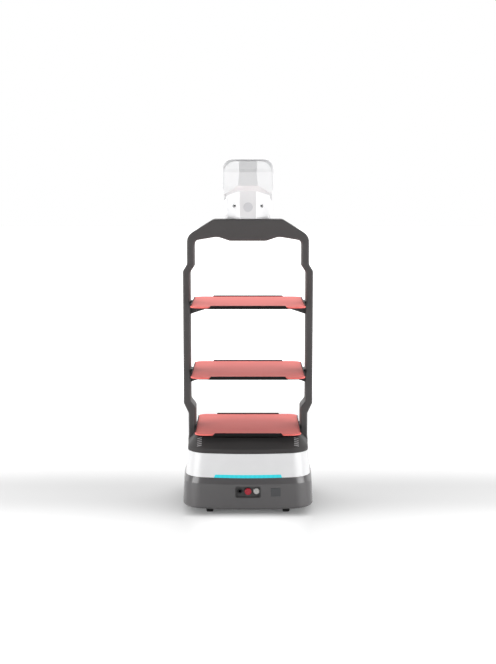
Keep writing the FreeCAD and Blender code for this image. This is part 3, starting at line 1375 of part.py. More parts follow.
def depth_camera():
    """Sensor bar on the front of the top bar, with three lens wells."""
    body = new_body("depth_camera")
    flat = new_sketch(body, "XZ_Plane", "-arch_depth / 2")
    low, high = "camera_level - camera_half_h", "camera_level + camera_half_h"
    draw_outline(flat, box_corners("camera_half_w", low, high, "camera_half_h - wall"))
    pad(body, flat, "camera_deep", backwards=True)
    lenses = new_sketch(body, "XZ_Plane", "-arch_depth / 2 - camera_deep")
    for x in ("-camera_half_w / 2", "0", "camera_half_w / 2"):
        draw_circle(lenses, x, "camera_level", "lens_radius")
    pocket(body, lenses, "wall", backwards=True)
    return body


node("neck_base", neck_form("neck_base", "wall", lambda y: "bar_top", neck_bottom))
node("head_lower_shell", head_lower_shell())
node("head_rear_shell", head_rear_shell())
node("head_bezel", head_bezel())
node("screen_glass", screen_glass())
node("display_module", display_module())
node("head_disc", rod("head_disc", "y", ("0", "-neck_facet_y - disc_thick / 2", "disc_level"),
                      "disc_radius", "disc_thick"))
node("head_screws", group("head_screws",
                          [facet_rod("head_screw", side, "screw_radius", "wall / 2", "well_deep")
                           for side in (1, -1)]))
node("depth_camera", depth_camera())


# ---------------------------------------------------------------- check and export

doc.recompute()
for item in doc.Objects:
    if "Invalid" in item.State or "Error" in item.State:
        raise RuntimeError(f"{item.Label}: {item.State}")

os.makedirs("parts", exist_ok=True)
for label, item in nodes.items():
    if item.Shape.isNull() or not item.Shape.isValid() or not item.Shape.Solids:
        raise RuntimeError(f"{label}: no valid solid")
    item.Shape.exportStep(f"parts/{label}.step")
    print(f"{label}: {len(item.Shape.Solids)} solid(s), {item.Shape.Volume / 1000:.1f} cm3")
print(len(nodes), "nodes")
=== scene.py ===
import math

import bpy
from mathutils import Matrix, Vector


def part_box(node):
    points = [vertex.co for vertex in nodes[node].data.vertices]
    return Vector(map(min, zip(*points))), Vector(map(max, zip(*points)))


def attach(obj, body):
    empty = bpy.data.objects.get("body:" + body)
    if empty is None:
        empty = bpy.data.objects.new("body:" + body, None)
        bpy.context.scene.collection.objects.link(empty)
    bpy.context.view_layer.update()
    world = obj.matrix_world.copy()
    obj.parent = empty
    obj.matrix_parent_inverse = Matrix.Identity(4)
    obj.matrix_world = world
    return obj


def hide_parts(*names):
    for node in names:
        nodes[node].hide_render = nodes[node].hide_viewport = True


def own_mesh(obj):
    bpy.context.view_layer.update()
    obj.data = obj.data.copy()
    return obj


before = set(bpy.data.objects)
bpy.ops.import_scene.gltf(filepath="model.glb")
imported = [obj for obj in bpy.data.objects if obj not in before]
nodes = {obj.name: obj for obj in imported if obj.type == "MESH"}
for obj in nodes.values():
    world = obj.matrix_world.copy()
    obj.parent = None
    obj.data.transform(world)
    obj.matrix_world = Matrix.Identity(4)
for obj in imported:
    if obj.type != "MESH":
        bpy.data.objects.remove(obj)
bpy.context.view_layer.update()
print("frame loaded:", len(nodes), "nodes")


def linearColour(hexCode):  # sRGB hex to the linear values that shaders take
    parts = [int(hexCode[i:i + 2], 16) / 255 for i in (1, 3, 5)]
    return [p / 12.92 if p <= 0.04045 else ((p + 0.055) / 1.055) ** 2.4 for p in parts] + [1.0]


def perMetre(millimetres):  # how many features of that size lie in a metre, for a texture's scale
    return 1000.0 / millimetres


# one node, its settings by name or socket, and what feeds it
def addNode(tree, kind, settings=None, links=None):
    node = tree.nodes.new(kind)
    for name, value in (settings or {}).items():
        if isinstance(name, int) or name in node.inputs:
            node.inputs[name].default_value = value
        else:
            setattr(node, name, value)
    for name, source in (links or {}).items():
        tree.links.new(source, node.inputs[name])
    return node


def newFinish(name, colour, surface):  # an empty Principled finish with the values that are the same all over
    finish = bpy.data.materials.new(name)
    finish.use_nodes = True
    tree = finish.node_tree
    shader = tree.nodes["Principled BSDF"]
    shader.inputs["Base Color"].default_value = linearColour(colour)
    for socket, value in surface.items():
        shader.inputs[socket].default_value = value
    place = addNode(tree, "ShaderNodeTexCoord").outputs["Object"]
    return finish, tree, shader, place


# finishes of the mouldings, coatings and rubbers

mouldedFinishes = {
    # satin-coated ABS: broad soft highlights that lighten the bowed sides
    "satinGreyAbs": {"colour": "#535152", "roughness": 0.42, "coat": 0.8, "grainMm": 1.2, "bumpMm": 0.02},
    # gloss white ABS: clean, with a thin bright line along its edges
    "glossWhiteAbs": {"colour": "#ebebec", "roughness": 0.3, "coat": 0.35, "grainMm": 3.0, "bumpMm": 0.001},
    # spark-textured ABS/PC: an even, slightly rough charcoal without clear reflections
    "texturedCharcoalAbs": {"colour": "#4b4949", "roughness": 0.52, "coat": 0.0, "grainMm": 0.9,
                            "bumpMm": 0.05},
    # the same charcoal, duller and a shade darker: the darker colour is painted shade for the deck under the
    # lowest tray, which stays calm there
    "shadedCharcoalAbs": {"colour": "#454343", "roughness": 0.6, "coat": 0.0, "grainMm": 0.9, "bumpMm": 0.02,
                         "specular": 0.2},
    # glass-filled nylon: dull dark housing with faint flow marks
    "glassFilledNylon": {"colour": "#2a2f38", "roughness": 0.62, "coat": 0.0, "grainMm": 1.4, "bumpMm": 0.06},
    # matte black ABS: swallows light, so sockets and forks read as dark shapes
    "matteBlackAbs": {"colour": "#1f1f20", "roughness": 0.55, "coat": 0.0, "grainMm": 0.8, "bumpMm": 0.03},
    # dark grey ABS of the recessed panel, a shade lighter than black
    "panelGreyAbs": {"colour": "#474646", "roughness": 0.5, "coat": 0.0, "grainMm": 0.8, "bumpMm": 0.03},
    # grey ABS of the flap, moulded without the satin coat and so a little flatter
    "plainGreyAbs": {"colour": "#4b4c4e", "roughness": 0.5, "coat": 0.0, "grainMm": 0.9, "bumpMm": 0.04},
    # glossy red nylon of the push button: saturated, with one sharp highlight
    "redNylon": {"colour": "#a51128", "roughness": 0.3, "coat": 0.3, "grainMm": 2.0, "bumpMm": 0.004},
    # pearl-coated cap on the head: off-white, told from the shell around it by its shade alone
    "pearlCap": {"colour": "#d6d6d9", "roughness": 0.35, "coat": 0.3, "grainMm": 1.0, "bumpMm": 0.002},
    # pale grey plastic of the fins at the deck's rear corners: light, flat ticks on the charcoal, a painted
    # highlight where the deck's corners round
    "paleHighlightPlastic": {"colour": "#a5a3a4", "roughness": 0.5, "coat": 0.0, "grainMm": 1.0, "bumpMm": 0.01},
    # powder-coated steel of the trays and brackets: near black with fine orange peel
    "blackPowderCoat": {"colour": "#141313", "roughness": 0.55, "coat": 0.0, "grainMm": 1.6, "bumpMm": 0.05,
                        "specular": 0.2},
    # the brackets' coat is a shade lighter, so that they part from the trays
    "greyPowderCoat": {"colour": "#343333", "roughness": 0.48, "coat": 0.0, "grainMm": 1.6, "bumpMm": 0.05},
    # coral silicone mat: matte and evenly coloured, with a fine cast-in grain that stops plates sliding
    "coralSilicone": {"colour": "#fb7770", "roughness": 0.7, "coat": 0.0, "grainMm": 1.1, "bumpMm": 0.05},
    # carbon-black tyre rubber: deep, dry and a little dusty
    "tyreRubber": {"colour": "#1b1b1c", "roughness": 0.8, "coat": 0.0, "grainMm": 1.0, "bumpMm": 0.06},
    # cast polyurethane of the small rollers: smoother than rubber
    "castPolyurethane": {"colour": "#161617", "roughness": 0.42, "coat": 0.0, "grainMm": 2.5, "bumpMm": 0.01},
}


mouldedWear = {"coatRoughness": 0.2, "usualSpecular": 0.5,
               "cloudMm": 45, "cloudSwing": 0.03,  # cloudiness of the pigment, a few centimetres across
               "smearMm": 18, "dullSwing": 0.04, "glossSwing": 0.015, "glossUpTo": 0.35,
               "grainStrength": 0.5}


def mouldedFinish(name):
    facts, wear = mouldedFinishes[name], mouldedWear
    surface = {"Coat Weight": facts["coat"], "Coat Roughness": wear["coatRoughness"],
               "Specular IOR Level": facts.get("specular", wear["usualSpecular"])}
    finish, tree, shader, place = newFinish(name, facts["colour"], surface)
    cloud = addNode(tree, "ShaderNodeTexNoise", {"Scale": perMetre(wear["cloudMm"]), "Detail": 3.0},
                    {"Vector": place})
    shade = addNode(tree, "ShaderNodeMapRange",
                    {"To Min": 1 - wear["cloudSwing"], "To Max": 1 + wear["cloudSwing"]},
                    {"Value": cloud.outputs["Fac"]})
    tint = addNode(tree, "ShaderNodeVectorMath", {"operation": "SCALE", 0: linearColour(facts["colour"])[:3]},
                   {"Scale": shade.outputs["Result"]})
    tree.links.new(tint.outputs["Vector"], shader.inputs["Base Color"])
    # handling and mould release leave the sheen a little uneven
    smear = addNode(tree, "ShaderNodeTexNoise", {"Scale": perMetre(wear["smearMm"]), "Detail": 4.0},
                    {"Vector": place})
    swing = wear["dullSwing"] if facts["roughness"] > wear["glossUpTo"] else wear["glossSwing"]
    sheen = addNode(tree, "ShaderNodeMapRange", {"To Min": facts["roughness"] - swing,
                                                 "To Max": facts["roughness"] + swing},
                    {"Value": smear.outputs["Fac"]})
    tree.links.new(sheen.outputs["Result"], shader.inputs["Roughness"])
    grain = addNode(tree, "ShaderNodeTexNoise", {"Scale": perMetre(facts["grainMm"]), "Detail": 2.0},
                    {"Vector": place})
    bump = addNode(tree, "ShaderNodeBump",
                   {"Strength": wear["grainStrength"], "Distance": facts["bumpMm"] / 1000},
                   {"Height": grain.outputs["Fac"]})
    tree.links.new(bump.outputs["Normal"], shader.inputs["Normal"])
    return finish


# finishes of the metals

metalFinishes = {
    # zinc-plated sheet: pale grey with a soft large spangle
    "zincPlatedSteel": {"colour": "#a9acb0", "roughness": 0.38, "grainMm": 9.0, "spread": 0.08},
    # die-cast aluminium: light, even and slightly grainy
    "castAluminium": {"colour": "#b9bcc0", "roughness": 0.42, "grainMm": 1.5, "spread": 0.05},
    # bright drawn steel of pins, caps and rings
    "satinStainless": {"colour": "#c6c5c2", "roughness": 0.26, "grainMm": 2.0, "spread": 0.04},
    # oiled spring wire: dark with thin highlights
    "springWire": {"colour": "#74767a", "roughness": 0.32, "grainMm": 2.0, "spread": 0.05},
}


metalGrain = {"sizeMm": 0.8, "depthMm": 0.02, "strength": 0.3}


def metalFinish(name):
    facts = metalFinishes[name]
    finish, tree, shader, place = newFinish(name, facts["colour"], {"Metallic": 1.0})
    spangle = addNode(tree, "ShaderNodeTexVoronoi", {"Scale": perMetre(facts["grainMm"])}, {"Vector": place})
    flake = addNode(tree, "ShaderNodeSeparateColor", None, {"Color": spangle.outputs["Color"]})
    rough = addNode(tree, "ShaderNodeMapRange", {"To Min": facts["roughness"] - facts["spread"],
                                                 "To Max": facts["roughness"] + facts["spread"]},
                    {"Value": flake.outputs["Red"]})
    tree.links.new(rough.outputs["Result"], shader.inputs["Roughness"])
    grain = addNode(tree, "ShaderNodeTexNoise", {"Scale": perMetre(metalGrain["sizeMm"]), "Detail": 2.0},
                    {"Vector": place})
    bump = addNode(tree, "ShaderNodeBump",
                   {"Strength": metalGrain["strength"], "Distance": metalGrain["depthMm"] / 1000},
                   {"Height": grain.outputs["Fac"]})
    tree.links.new(bump.outputs["Normal"], shader.inputs["Normal"])
    return finish


# light strip, sensor window and screen

lightStrip = {"colour": "#35d6e2", "roughness": 0.35, "unlitShare": 0.25, "strength": 0.8,
              "glow": 1.0, "ripple": 0.04, "lampPitchMm": 16.6}


def opalAcrylicLed():  # opal acrylic lit from behind: even cyan with a hint of the lamps behind it
    facts = lightStrip
    finish, tree, shader, place = newFinish("opalAcrylicLed", facts["colour"],
                                            {"Roughness": facts["roughness"]})
    cyan = linearColour(facts["colour"])
    shader.inputs["Base Color"].default_value = [part * facts["unlitShare"] for part in cyan[:3]] + [1.0]
    across = addNode(tree, "ShaderNodeSeparateXYZ", None, {"Vector": place})
    turns = addNode(tree, "ShaderNodeMath", {"operation": "MULTIPLY",
                                             1: 2 * math.pi * perMetre(facts["lampPitchMm"])},
                    {0: across.outputs["X"]})
    wave = addNode(tree, "ShaderNodeMath", {"operation": "COSINE"}, {0: turns.outputs["Value"]})
    glow = addNode(tree, "ShaderNodeMapRange",
                   {"From Min": -1.0, "To Min": facts["glow"] * (1 - facts["ripple"]),
                    "To Max": facts["glow"] * (1 + facts["ripple"])},
                   {"Value": wave.outputs["Value"]})
    lamp = addNode(tree, "ShaderNodeVectorMath", {"operation": "SCALE", 0: cyan[:3]},
                   {"Scale": glow.outputs["Result"]})
    tree.links.new(lamp.outputs["Vector"], shader.inputs["Emission Color"])
    shader.inputs["Emission Strength"].default_value = facts["strength"]
    return finish


clearFinishes = {
    # polished dark acrylic in front of the scanner: deep gloss with a faint haze
    "smokedAcrylic": {"colour": "#141416", "coat": 0.6, "coatRoughness": 0.05,
                      "hazeMm": 30, "hazeDetail": 3.0, "clearest": 0.08, "haziest": 0.16},
    # chemically toughened glass over an unlit display: black with clear reflections
    "coverGlass": {"colour": "#0c0c0e", "coat": 1.0, "coatRoughness": 0.02,
                   "hazeMm": 22, "hazeDetail": 5.0, "clearest": 0.04, "haziest": 0.1},
}


def clearFinish(name):
    facts = clearFinishes[name]
    finish, tree, shader, place = newFinish(name, facts["colour"], {"Coat Weight": facts["coat"],
                                                                    "Coat Roughness": facts["coatRoughness"]})
    haze = addNode(tree, "ShaderNodeTexNoise",
                   {"Scale": perMetre(facts["hazeMm"]), "Detail": facts["hazeDetail"]},
                   {"Vector": place})
    rough = addNode(tree, "ShaderNodeMapRange", {"To Min": facts["clearest"], "To Max": facts["haziest"]},
                    {"Value": haze.outputs["Fac"]})
    tree.links.new(rough.outputs["Result"], shader.inputs["Roughness"])
    return finish


finishes = {name: mouldedFinish(name) for name in mouldedFinishes}
finishes.update({name: metalFinish(name) for name in metalFinishes})
finishes["opalAcrylicLed"] = opalAcrylicLed()
finishes.update({name: clearFinish(name) for name in clearFinishes})

casters = [end + "_" + side + "_caster" for end in ("rear", "front") for side in ("right", "left")]
nodeFinishes = {
    "satinGreyAbs": ["lower_shell"],
    "glossWhiteAbs": ["band_shell", "neck_base", "head_lower_shell", "head_rear_shell", "head_bezel"],
    "shadedCharcoalAbs": ["top_deck"],
    "texturedCharcoalAbs": ["arch_rear_cover", "arch_front_cover", "depth_camera"],
    "opalAcrylicLed": ["light_strip_rear", "light_strip_front"],
    "smokedAcrylic": ["lidar_window"],
    "blackPowderCoat": ["arch_core", "upper_tray", "middle_tray", "lower_tray"],
    "greyPowderCoat": ["tray_brackets"],
    "coralSilicone": ["upper_mat", "middle_mat", "lower_mat"],
    "zincPlatedSteel": ["chassis_plate", "deck_plate", "deck_posts", "suspension_brackets", "caster_plates",
                        "lidar_stand"],
    "castAluminium": ["right_hub_motor", "left_hub_motor", "right_swing_arm", "left_swing_arm",
                      "main_controller"],
    "springWire": ["right_spring", "left_spring"],
    "tyreRubber": ["right_tyre", "left_tyre"],
    "castPolyurethane": [caster + "_wheel" for caster in casters],
    "glassFilledNylon": ["battery_pack"],
    "matteBlackAbs": [caster + "_fork" for caster in casters]
                     + ["lidar_base", "lidar_head", "charge_socket", "estop_body", "service_port",
                        "display_module", "head_screws"],
    "panelGreyAbs": ["switch_panel"],
    "plainGreyAbs": ["service_flap"],
    "redNylon": ["estop_button"],
    "satinStainless": ["power_switch_body", "power_button"],
    "pearlCap": ["head_disc"],
    "coverGlass": ["screen_glass"],
}

for finishName, members in nodeFinishes.items():
    for member in members:
        mesh = nodes[member].data
        mesh.materials.clear()
        mesh.materials.append(finishes[finishName])
bare = sorted(set(nodes) - {member for members in nodeFinishes.values() for member in members})
print("finishes set on", len(nodes) - len(bare), "nodes; without one:", bare)


# small parts that repeat, grown with geometry nodes

def newTree(name, sizesMm):  # a tree with a geometry socket at each end and one named input for each size
    tree = bpy.data.node_groups.new(name, "GeometryNodeTree")
    tree.interface.new_socket("Geometry", in_out="INPUT", socket_type="NodeSocketGeometry")
    for size, value in sizesMm.items():
        socket = tree.interface.new_socket(size, in_out="INPUT", socket_type="NodeSocketFloat")
        socket.default_value = value / 1000
    tree.interface.new_socket("Geometry", in_out="OUTPUT", socket_type="NodeSocketGeometry")
    return tree, addNode(tree, "NodeGroupInput").outputs, addNode(tree, "NodeGroupOutput").inputs


def shareOf(tree, value, share):  # a size times a fixed share
    return addNode(tree, "ShaderNodeMath", {"operation": "MULTIPLY", 1: share}, {0: value}).outputs["Value"]


def lifted(tree, shape, height):  # a shape moved up its own Z axis
    place = addNode(tree, "ShaderNodeCombineXYZ", None, {"Z": height}).outputs["Vector"]
    return addNode(tree, "GeometryNodeTransform", None,
                   {"Geometry": shape, "Translation": place}).outputs["Geometry"]


def setOut(tree, ends, starts, shape, finish):  # one copy of the shape at each point, standing along its aim
    aim = addNode(tree, "GeometryNodeInputNamedAttribute", {"data_type": "FLOAT_VECTOR", "Name": "aim"})
    way = next(socket for socket in aim.outputs if socket.enabled and socket.name == "Attribute")
    turn = addNode(tree, "FunctionNodeAlignRotationToVector", {"axis": "Z"},
                   {"Vector": way}).outputs["Rotation"]
    copies = addNode(tree, "GeometryNodeInstanceOnPoints", None,
                     {"Points": starts["Geometry"], "Instance": shape, "Rotation": turn}).outputs["Instances"]
    real = addNode(tree, "GeometryNodeRealizeInstances", None, {"Geometry": copies}).outputs["Geometry"]
    painted = addNode(tree, "GeometryNodeSetMaterial", {"Material": finishes[finish]}, {"Geometry": real})
    tree.links.new(painted.outputs["Geometry"], ends["Geometry"])
    return tree


socketHead = {"sides": 20, "socketSides": 6,
              "socketShare": 0.55,  # the socket's radius, as a share of the head's
              "lift": 0.45}  # the head is raised by this share of its height, and the socket again within it


def socketScrews(finish):  # cap head with a hexagonal socket
    tree, starts, ends = newTree("socketScrews", {"Head radius": 2.6, "Head height": 1.6})
    radius, height = starts["Head radius"], starts["Head height"]
    head = addNode(tree, "GeometryNodeMeshCylinder", {"Vertices": socketHead["sides"]},
                   {"Radius": radius, "Depth": height})
    lift = shareOf(tree, height, socketHead["lift"])
    recess = addNode(tree, "GeometryNodeMeshCylinder", {"Vertices": socketHead["socketSides"]},
                     {"Radius": shareOf(tree, radius, socketHead["socketShare"]), "Depth": height})
    cut = addNode(tree, "GeometryNodeMeshBoolean", {"operation": "DIFFERENCE"},
                  {"Mesh 1": head.outputs["Mesh"], "Mesh 2": lifted(tree, recess.outputs["Mesh"], lift)})
    return setOut(tree, ends, starts, lifted(tree, cut.outputs["Mesh"], lift), finish)


def highlightFins(finish):  # short flat fin
    tree, starts, ends = newTree("highlightFins", {"Length": 17.0, "Width": 4.2, "Height": 1.6})
    size = addNode(tree, "ShaderNodeCombineXYZ", None,
                   {"X": starts["Length"], "Y": starts["Width"], "Z": starts["Height"]})
    fin = addNode(tree, "GeometryNodeMeshCube", None, {"Size": size.outputs["Vector"]})
    return setOut(tree, ends, starts, fin.outputs["Mesh"], finish)


springs = {"x": 144.0, "y": -60.0, "seat": 92.0, "top": 136.5, "coilRadius": 11.0, "wireRadius": 1.5,
           "turns": 6.0, "stepsPerTurn": 32, "wireSides": 10, "keep": 0.82}


def coilSprings(finish):  # open turns between two closed end coils
    steps = springs["stepsPerTurn"]
    tree, starts, ends = newTree("coilSprings", {"Coil radius": springs["coilRadius"],
                                                 "Wire radius": springs["wireRadius"],
                                                 "Free height": springs["top"] - springs["seat"]})
    radius, height = starts["Coil radius"], starts["Free height"]
    turns = addNode(tree, "GeometryNodeCurveSpiral", {"Resolution": steps, "Rotations": springs["turns"]},
                    {"Start Radius": radius, "End Radius": radius, "Height": height})
    rim = addNode(tree, "GeometryNodeCurvePrimitiveCircle", {"Resolution": steps},
                  {"Radius": radius}).outputs["Curve"]
    wire = addNode(tree, "GeometryNodeCurvePrimitiveCircle", {"Resolution": springs["wireSides"]},
                   {"Radius": starts["Wire radius"]})
    path = addNode(tree, "GeometryNodeJoinGeometry")
    for curve in (turns.outputs["Curve"], rim, lifted(tree, rim, height)):
        tree.links.new(curve, path.inputs["Geometry"])
    coil = addNode(tree, "GeometryNodeCurveToMesh", {"Fill Caps": True},
                   {"Curve": path.outputs["Geometry"], "Profile Curve": wire.outputs["Curve"]})
    return setOut(tree, ends, starts, coil.outputs["Mesh"], finish)


def growPiece(name, tree, spots, body, sizesMm=None):  # spots are pairs of a point and an aim, in metres
    mesh = bpy.data.meshes.new(name)
    mesh.from_pydata([point for point, aim in spots], [], [])
    mesh.attributes.new("aim", "FLOAT_VECTOR", "POINT").data.foreach_set(
        "vector", [value for point, aim in spots for value in aim])
    piece = bpy.data.objects.new(name, mesh)
    bpy.context.scene.collection.objects.link(piece)
    grow = piece.modifiers.new("grow", "NODES")
    grow.node_group = tree
    for item in tree.interface.items_tree:
        if item.in_out == "INPUT" and item.name in (sizesMm or {}):
            grow[item.identifier] = sizesMm[item.name] / 1000
    grown = bpy.data.meshes.new_from_object(piece.evaluated_get(bpy.context.evaluated_depsgraph_get()))
    piece.modifiers.remove(grow)
    piece.data = grown
    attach(piece, body)
    return piece


def meet(nodeName, startMm, way):  # where a straight line first meets a node, and which way that face looks
    start = Vector([value / 1000 for value in startMm])
    met, point, normal, face = nodes[nodeName].ray_cast(start, Vector(way).normalized())
    if not met:
        raise ValueError("the line misses " + nodeName)
    return point, normal


sides = ((-1, "left"), (1, "right"))
deckHighlightFins = {"centreX": 177.0, "fromY": -151.0, "toY": -190.0, "count": 5, "above": 400.0}


def makeDeckHighlightFins():  # a row of pale fins at each rear corner of the deck: a painted highlight where the deck's corner rounds
    facts = deckHighlightFins
    fins = highlightFins("paleHighlightPlastic")
    rows = [facts["fromY"] + (facts["toY"] - facts["fromY"]) * i / (facts["count"] - 1)
            for i in range(facts["count"])]
    for side, word in sides:
        starts = [(side * facts["centreX"], row, facts["above"]) for row in rows]
        spots = [meet("top_deck", start, (0, 0, -1)) for start in starts]
        growPiece(word + "DeckHighlightFin", fins, spots, "robot_base")


chassisScrews = {"places": ((180, 190), (70, 215), (205, 105)), "below": 10.0}


def makeChassisScrews(screws):  # the same places in each quarter of the plate, seen from below
    facts = chassisScrews
    spots = [(side * x, end * y) for x, y in facts["places"] for side in (-1, 1) for end in (-1, 1)]
    growPiece("chassisScrews", screws,
              [meet("chassis_plate", (x, y, facts["below"]), (0, 0, 1)) for x, y in spots], "robot_base")


casterScrews = {"centreX": 140.0, "centreY": 150.0, "offX": 23.0, "offY": 23.0, "below": 40.0}


def makeCasterScrews(screws):  # four in each caster's plate
    facts = casterScrews
    spots = [(side * facts["centreX"] + i * facts["offX"], end * facts["centreY"] + j * facts["offY"])
             for side in (-1, 1) for end in (-1, 1) for i in (-1, 1) for j in (-1, 1)]
    growPiece("casterScrews", screws,
              [meet("caster_plates", (x, y, facts["below"]), (0, 0, 1)) for x, y in spots], "robot_base")


hubBolts = {"count": 6, "circle": 32.0, "outside": 300.0, "sizes": {"Head radius": 3.2, "Head height": 2.0}}


def makeHubBolts(screws):  # a circle of bolts on the outer face of each hub, which turn with the wheel
    hub = hubBolts
    for side, word in sides:
        low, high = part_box(word + "_hub_motor")
        y, z = ((low[i] + high[i]) / 2 * 1000 for i in (1, 2))
        turns = [2 * math.pi * i / hub["count"] for i in range(hub["count"])]
        starts = [(side * hub["outside"], y + hub["circle"] * math.cos(turn),
                   z + hub["circle"] * math.sin(turn)) for turn in turns]
        bolts = [meet(word + "_hub_motor", start, (-side, 0, 0)) for start in starts]
        growPiece(word + "HubBolts", screws, bolts, word + "_wheel", hub["sizes"])


def makeSprings():
    coils = coilSprings("springWire")
    for side, word in sides:
        foot = Vector((side * springs["x"], springs["y"], springs["seat"])) / 1000
        spring = growPiece(word + "SuspensionSpring", coils, [(foot, (0, 0, 1))], "robot_base")
        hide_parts(word + "_spring")
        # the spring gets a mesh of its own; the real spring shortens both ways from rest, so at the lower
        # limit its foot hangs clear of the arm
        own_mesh(spring)


makeDeckHighlightFins()
zincScrews = socketScrews("zincPlatedSteel")
makeChassisScrews(zincScrews)
makeCasterScrews(zincScrews)
makeHubBolts(zincScrews)
makeSprings()
print("small parts grown")


# floor, light and camera

studio = {"floorSize": 60.0, "floorGrey": 0.76, "roomLight": 0.1, "backdropLight": 1.95,
          # the dim room gives way to the bright backdrop between these values of a direction's Y
          "roomEnds": -0.05, "backdropStarts": 0.6,
          # burnt-out paper, painted light for the eye only: all round from one distance on, before and behind
          # the robot, and in front of it, where it lightens the robot's shadow
          "round": {"from": 1.0, "to": 3.0, "glow": 1.0},
          "across": {"middle": 0.08, "from": 0.08, "to": 0.5, "glow": 0.3},
          "front": {"from": -0.165, "to": -0.25, "half": 0.05, "fade": 0.36, "glow": 0.6}}
lamps = {
    # broad strips on both sides of the camera: they lighten the bowed shells towards their corners
    "leftStrip": {"at": (-2.7, -1.6, 0.65), "towards": (0, 0, 0.3), "size": (2.0, 1.1), "power": 48},
    "rightStrip": {"at": (2.7, -1.6, 0.65), "towards": (0, 0, 0.3), "size": (2.0, 1.1), "power": 48},
    # softboxes at both sides: they whiten the slanted facets of the head
    "leftSoftbox": {"at": (-2.6, -0.4, 2.2), "towards": (0, 0, 0.7), "size": (1.8, 1.8), "power": 16},
    "rightSoftbox": {"at": (2.6, -0.4, 2.2), "towards": (0, 0, 0.7), "size": (1.8, 1.8), "power": 16},
    "topSoftbox": {"at": (0, -0.3, 3.4), "towards": (0, 0, 0.4), "size": (2.4, 2.4), "power": 10},
}
photoView = {"at": (0, -4.2, 1.1836), "pitch": 7.298, "lens": 60.967, "sensorWidth": 36}


def seenStraight(tree):  # 1 for what the eye meets with nothing in between
    return addNode(tree, "ShaderNodeLightPath").outputs["Is Camera Ray"]


def softStep(tree, value, start, end, low, high):  # a smooth change from low at start to high at end
    return addNode(tree, "ShaderNodeMapRange", {"interpolation_type": "SMOOTHSTEP", "From Min": start,
                                                "From Max": end, "To Min": low, "To Max": high},
                   {"Value": value}).outputs["Result"]


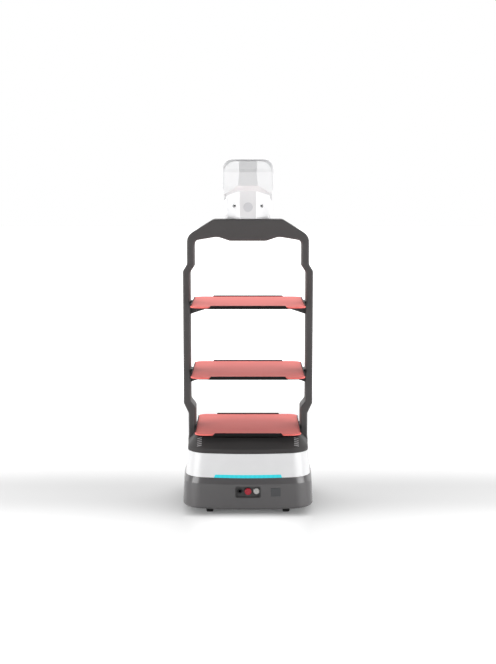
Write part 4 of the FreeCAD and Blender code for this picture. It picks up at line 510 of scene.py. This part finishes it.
def makeFloor():
    half = studio["floorSize"] / 2
    mesh = bpy.data.meshes.new("studioFloor")
    corners = [(-half, -half, 0), (half, -half, 0), (half, half, 0), (-half, half, 0)]
    mesh.from_pydata(corners, [], [(0, 1, 2, 3)])
    floor = bpy.data.objects.new("studioFloor", mesh)
    bpy.context.scene.collection.objects.link(floor)
    paint = bpy.data.materials.new("whitePaperSweep")
    paint.use_nodes = True
    tree = paint.node_tree
    tree.nodes.clear()
    grey = studio["floorGrey"]
    paper = addNode(tree, "ShaderNodeBsdfDiffuse", {"Color": (grey, grey, grey, 1)})
    # painted light: the paper glows white for the eye only, far from the robot and right in front of it,
    # where the glow lightens the robot's shadow on the floor
    place = addNode(tree, "ShaderNodeTexCoord").outputs["Object"]
    away = addNode(tree, "ShaderNodeVectorMath", {"operation": "LENGTH"}, {0: place}).outputs["Value"]
    spot = addNode(tree, "ShaderNodeSeparateXYZ", None, {"Vector": place})
    aside = addNode(tree, "ShaderNodeMath", {"operation": "ABSOLUTE"},
                    {0: spot.outputs["X"]}).outputs["Value"]
    offset = addNode(tree, "ShaderNodeMath", {"operation": "SUBTRACT", 1: studio["across"]["middle"]},
                     {0: spot.outputs["Y"]}).outputs["Value"]
    behind = addNode(tree, "ShaderNodeMath", {"operation": "ABSOLUTE"}, {0: offset}).outputs["Value"]
    wide, band, patch = studio["round"], studio["across"], studio["front"]
    burns = [softStep(tree, away, wide["from"], wide["to"], 0.0, wide["glow"]),
             softStep(tree, behind, band["from"], band["to"], 0.0, band["glow"])]
    # painted light right in front of the robot, which lightens and narrows its shadow on the floor
    paintedLightInFront = addNode(tree, "ShaderNodeMath", {"operation": "MULTIPLY"},
                   {0: softStep(tree, spot.outputs["Y"], patch["to"], patch["from"], patch["glow"], 0.0),
                    1: softStep(tree, aside, patch["half"], patch["fade"], 1.0, 0.0)})
    burn = paintedLightInFront.outputs["Value"]
    for other in burns:
        burn = addNode(tree, "ShaderNodeMath", {"operation": "MAXIMUM"}, {0: burn, 1: other}).outputs["Value"]
    level = addNode(tree, "ShaderNodeMath", {"operation": "MULTIPLY"}, {0: burn, 1: seenStraight(tree)})
    glow = addNode(tree, "ShaderNodeEmission", {"Color": (1, 1, 1, 1)}, {"Strength": level.outputs["Value"]})
    both = addNode(tree, "ShaderNodeAddShader", None, {0: paper.outputs["BSDF"], 1: glow.outputs["Emission"]})
    addNode(tree, "ShaderNodeOutputMaterial", None, {"Surface": both.outputs["Shader"]})
    mesh.materials.append(paint)


def makeWorld():  # bright paper behind the robot, a dim room before it, and burnt-out white for the eye
    world = bpy.data.worlds.new("studioRoom")
    bpy.context.scene.world = world
    world.use_nodes = True
    tree = world.node_tree
    way = addNode(tree, "ShaderNodeTexCoord").outputs["Generated"]
    depth = addNode(tree, "ShaderNodeSeparateXYZ", None, {"Vector": way}).outputs["Y"]
    room = softStep(tree, depth, studio["roomEnds"], studio["backdropStarts"],
                    studio["roomLight"], studio["backdropLight"])
    strength = addNode(tree, "ShaderNodeMapRange", {"To Max": 1.0},
                       {"Value": seenStraight(tree), "To Min": room})
    background = tree.nodes["Background"]
    background.inputs["Color"].default_value = (1, 1, 1, 1)
    tree.links.new(strength.outputs["Result"], background.inputs["Strength"])


def makeLamps():
    for name, facts in lamps.items():
        light = bpy.data.lights.new(name, "AREA")
        light.shape = "RECTANGLE"
        light.size, light.size_y = facts["size"]
        light.energy = facts["power"]
        lamp = bpy.data.objects.new(name, light)
        lamp.location = facts["at"]
        aim = Vector(facts["towards"]) - Vector(facts["at"])
        lamp.rotation_euler = aim.to_track_quat("-Z", "Y").to_euler()
        bpy.context.scene.collection.objects.link(lamp)


def makeCamera():
    lensData = bpy.data.cameras.new("photoCamera")
    lensData.sensor_width = photoView["sensorWidth"]
    lensData.lens = photoView["lens"]
    camera = bpy.data.objects.new("photoCamera", lensData)
    camera.location = photoView["at"]
    camera.rotation_euler = (math.radians(90 - photoView["pitch"]), 0, 0)
    bpy.context.scene.collection.objects.link(camera)
    bpy.context.scene.camera = camera


makeFloor()
makeWorld()
makeLamps()
makeCamera()
bpy.context.scene.view_settings.view_transform = "Standard"
print("studio ready")
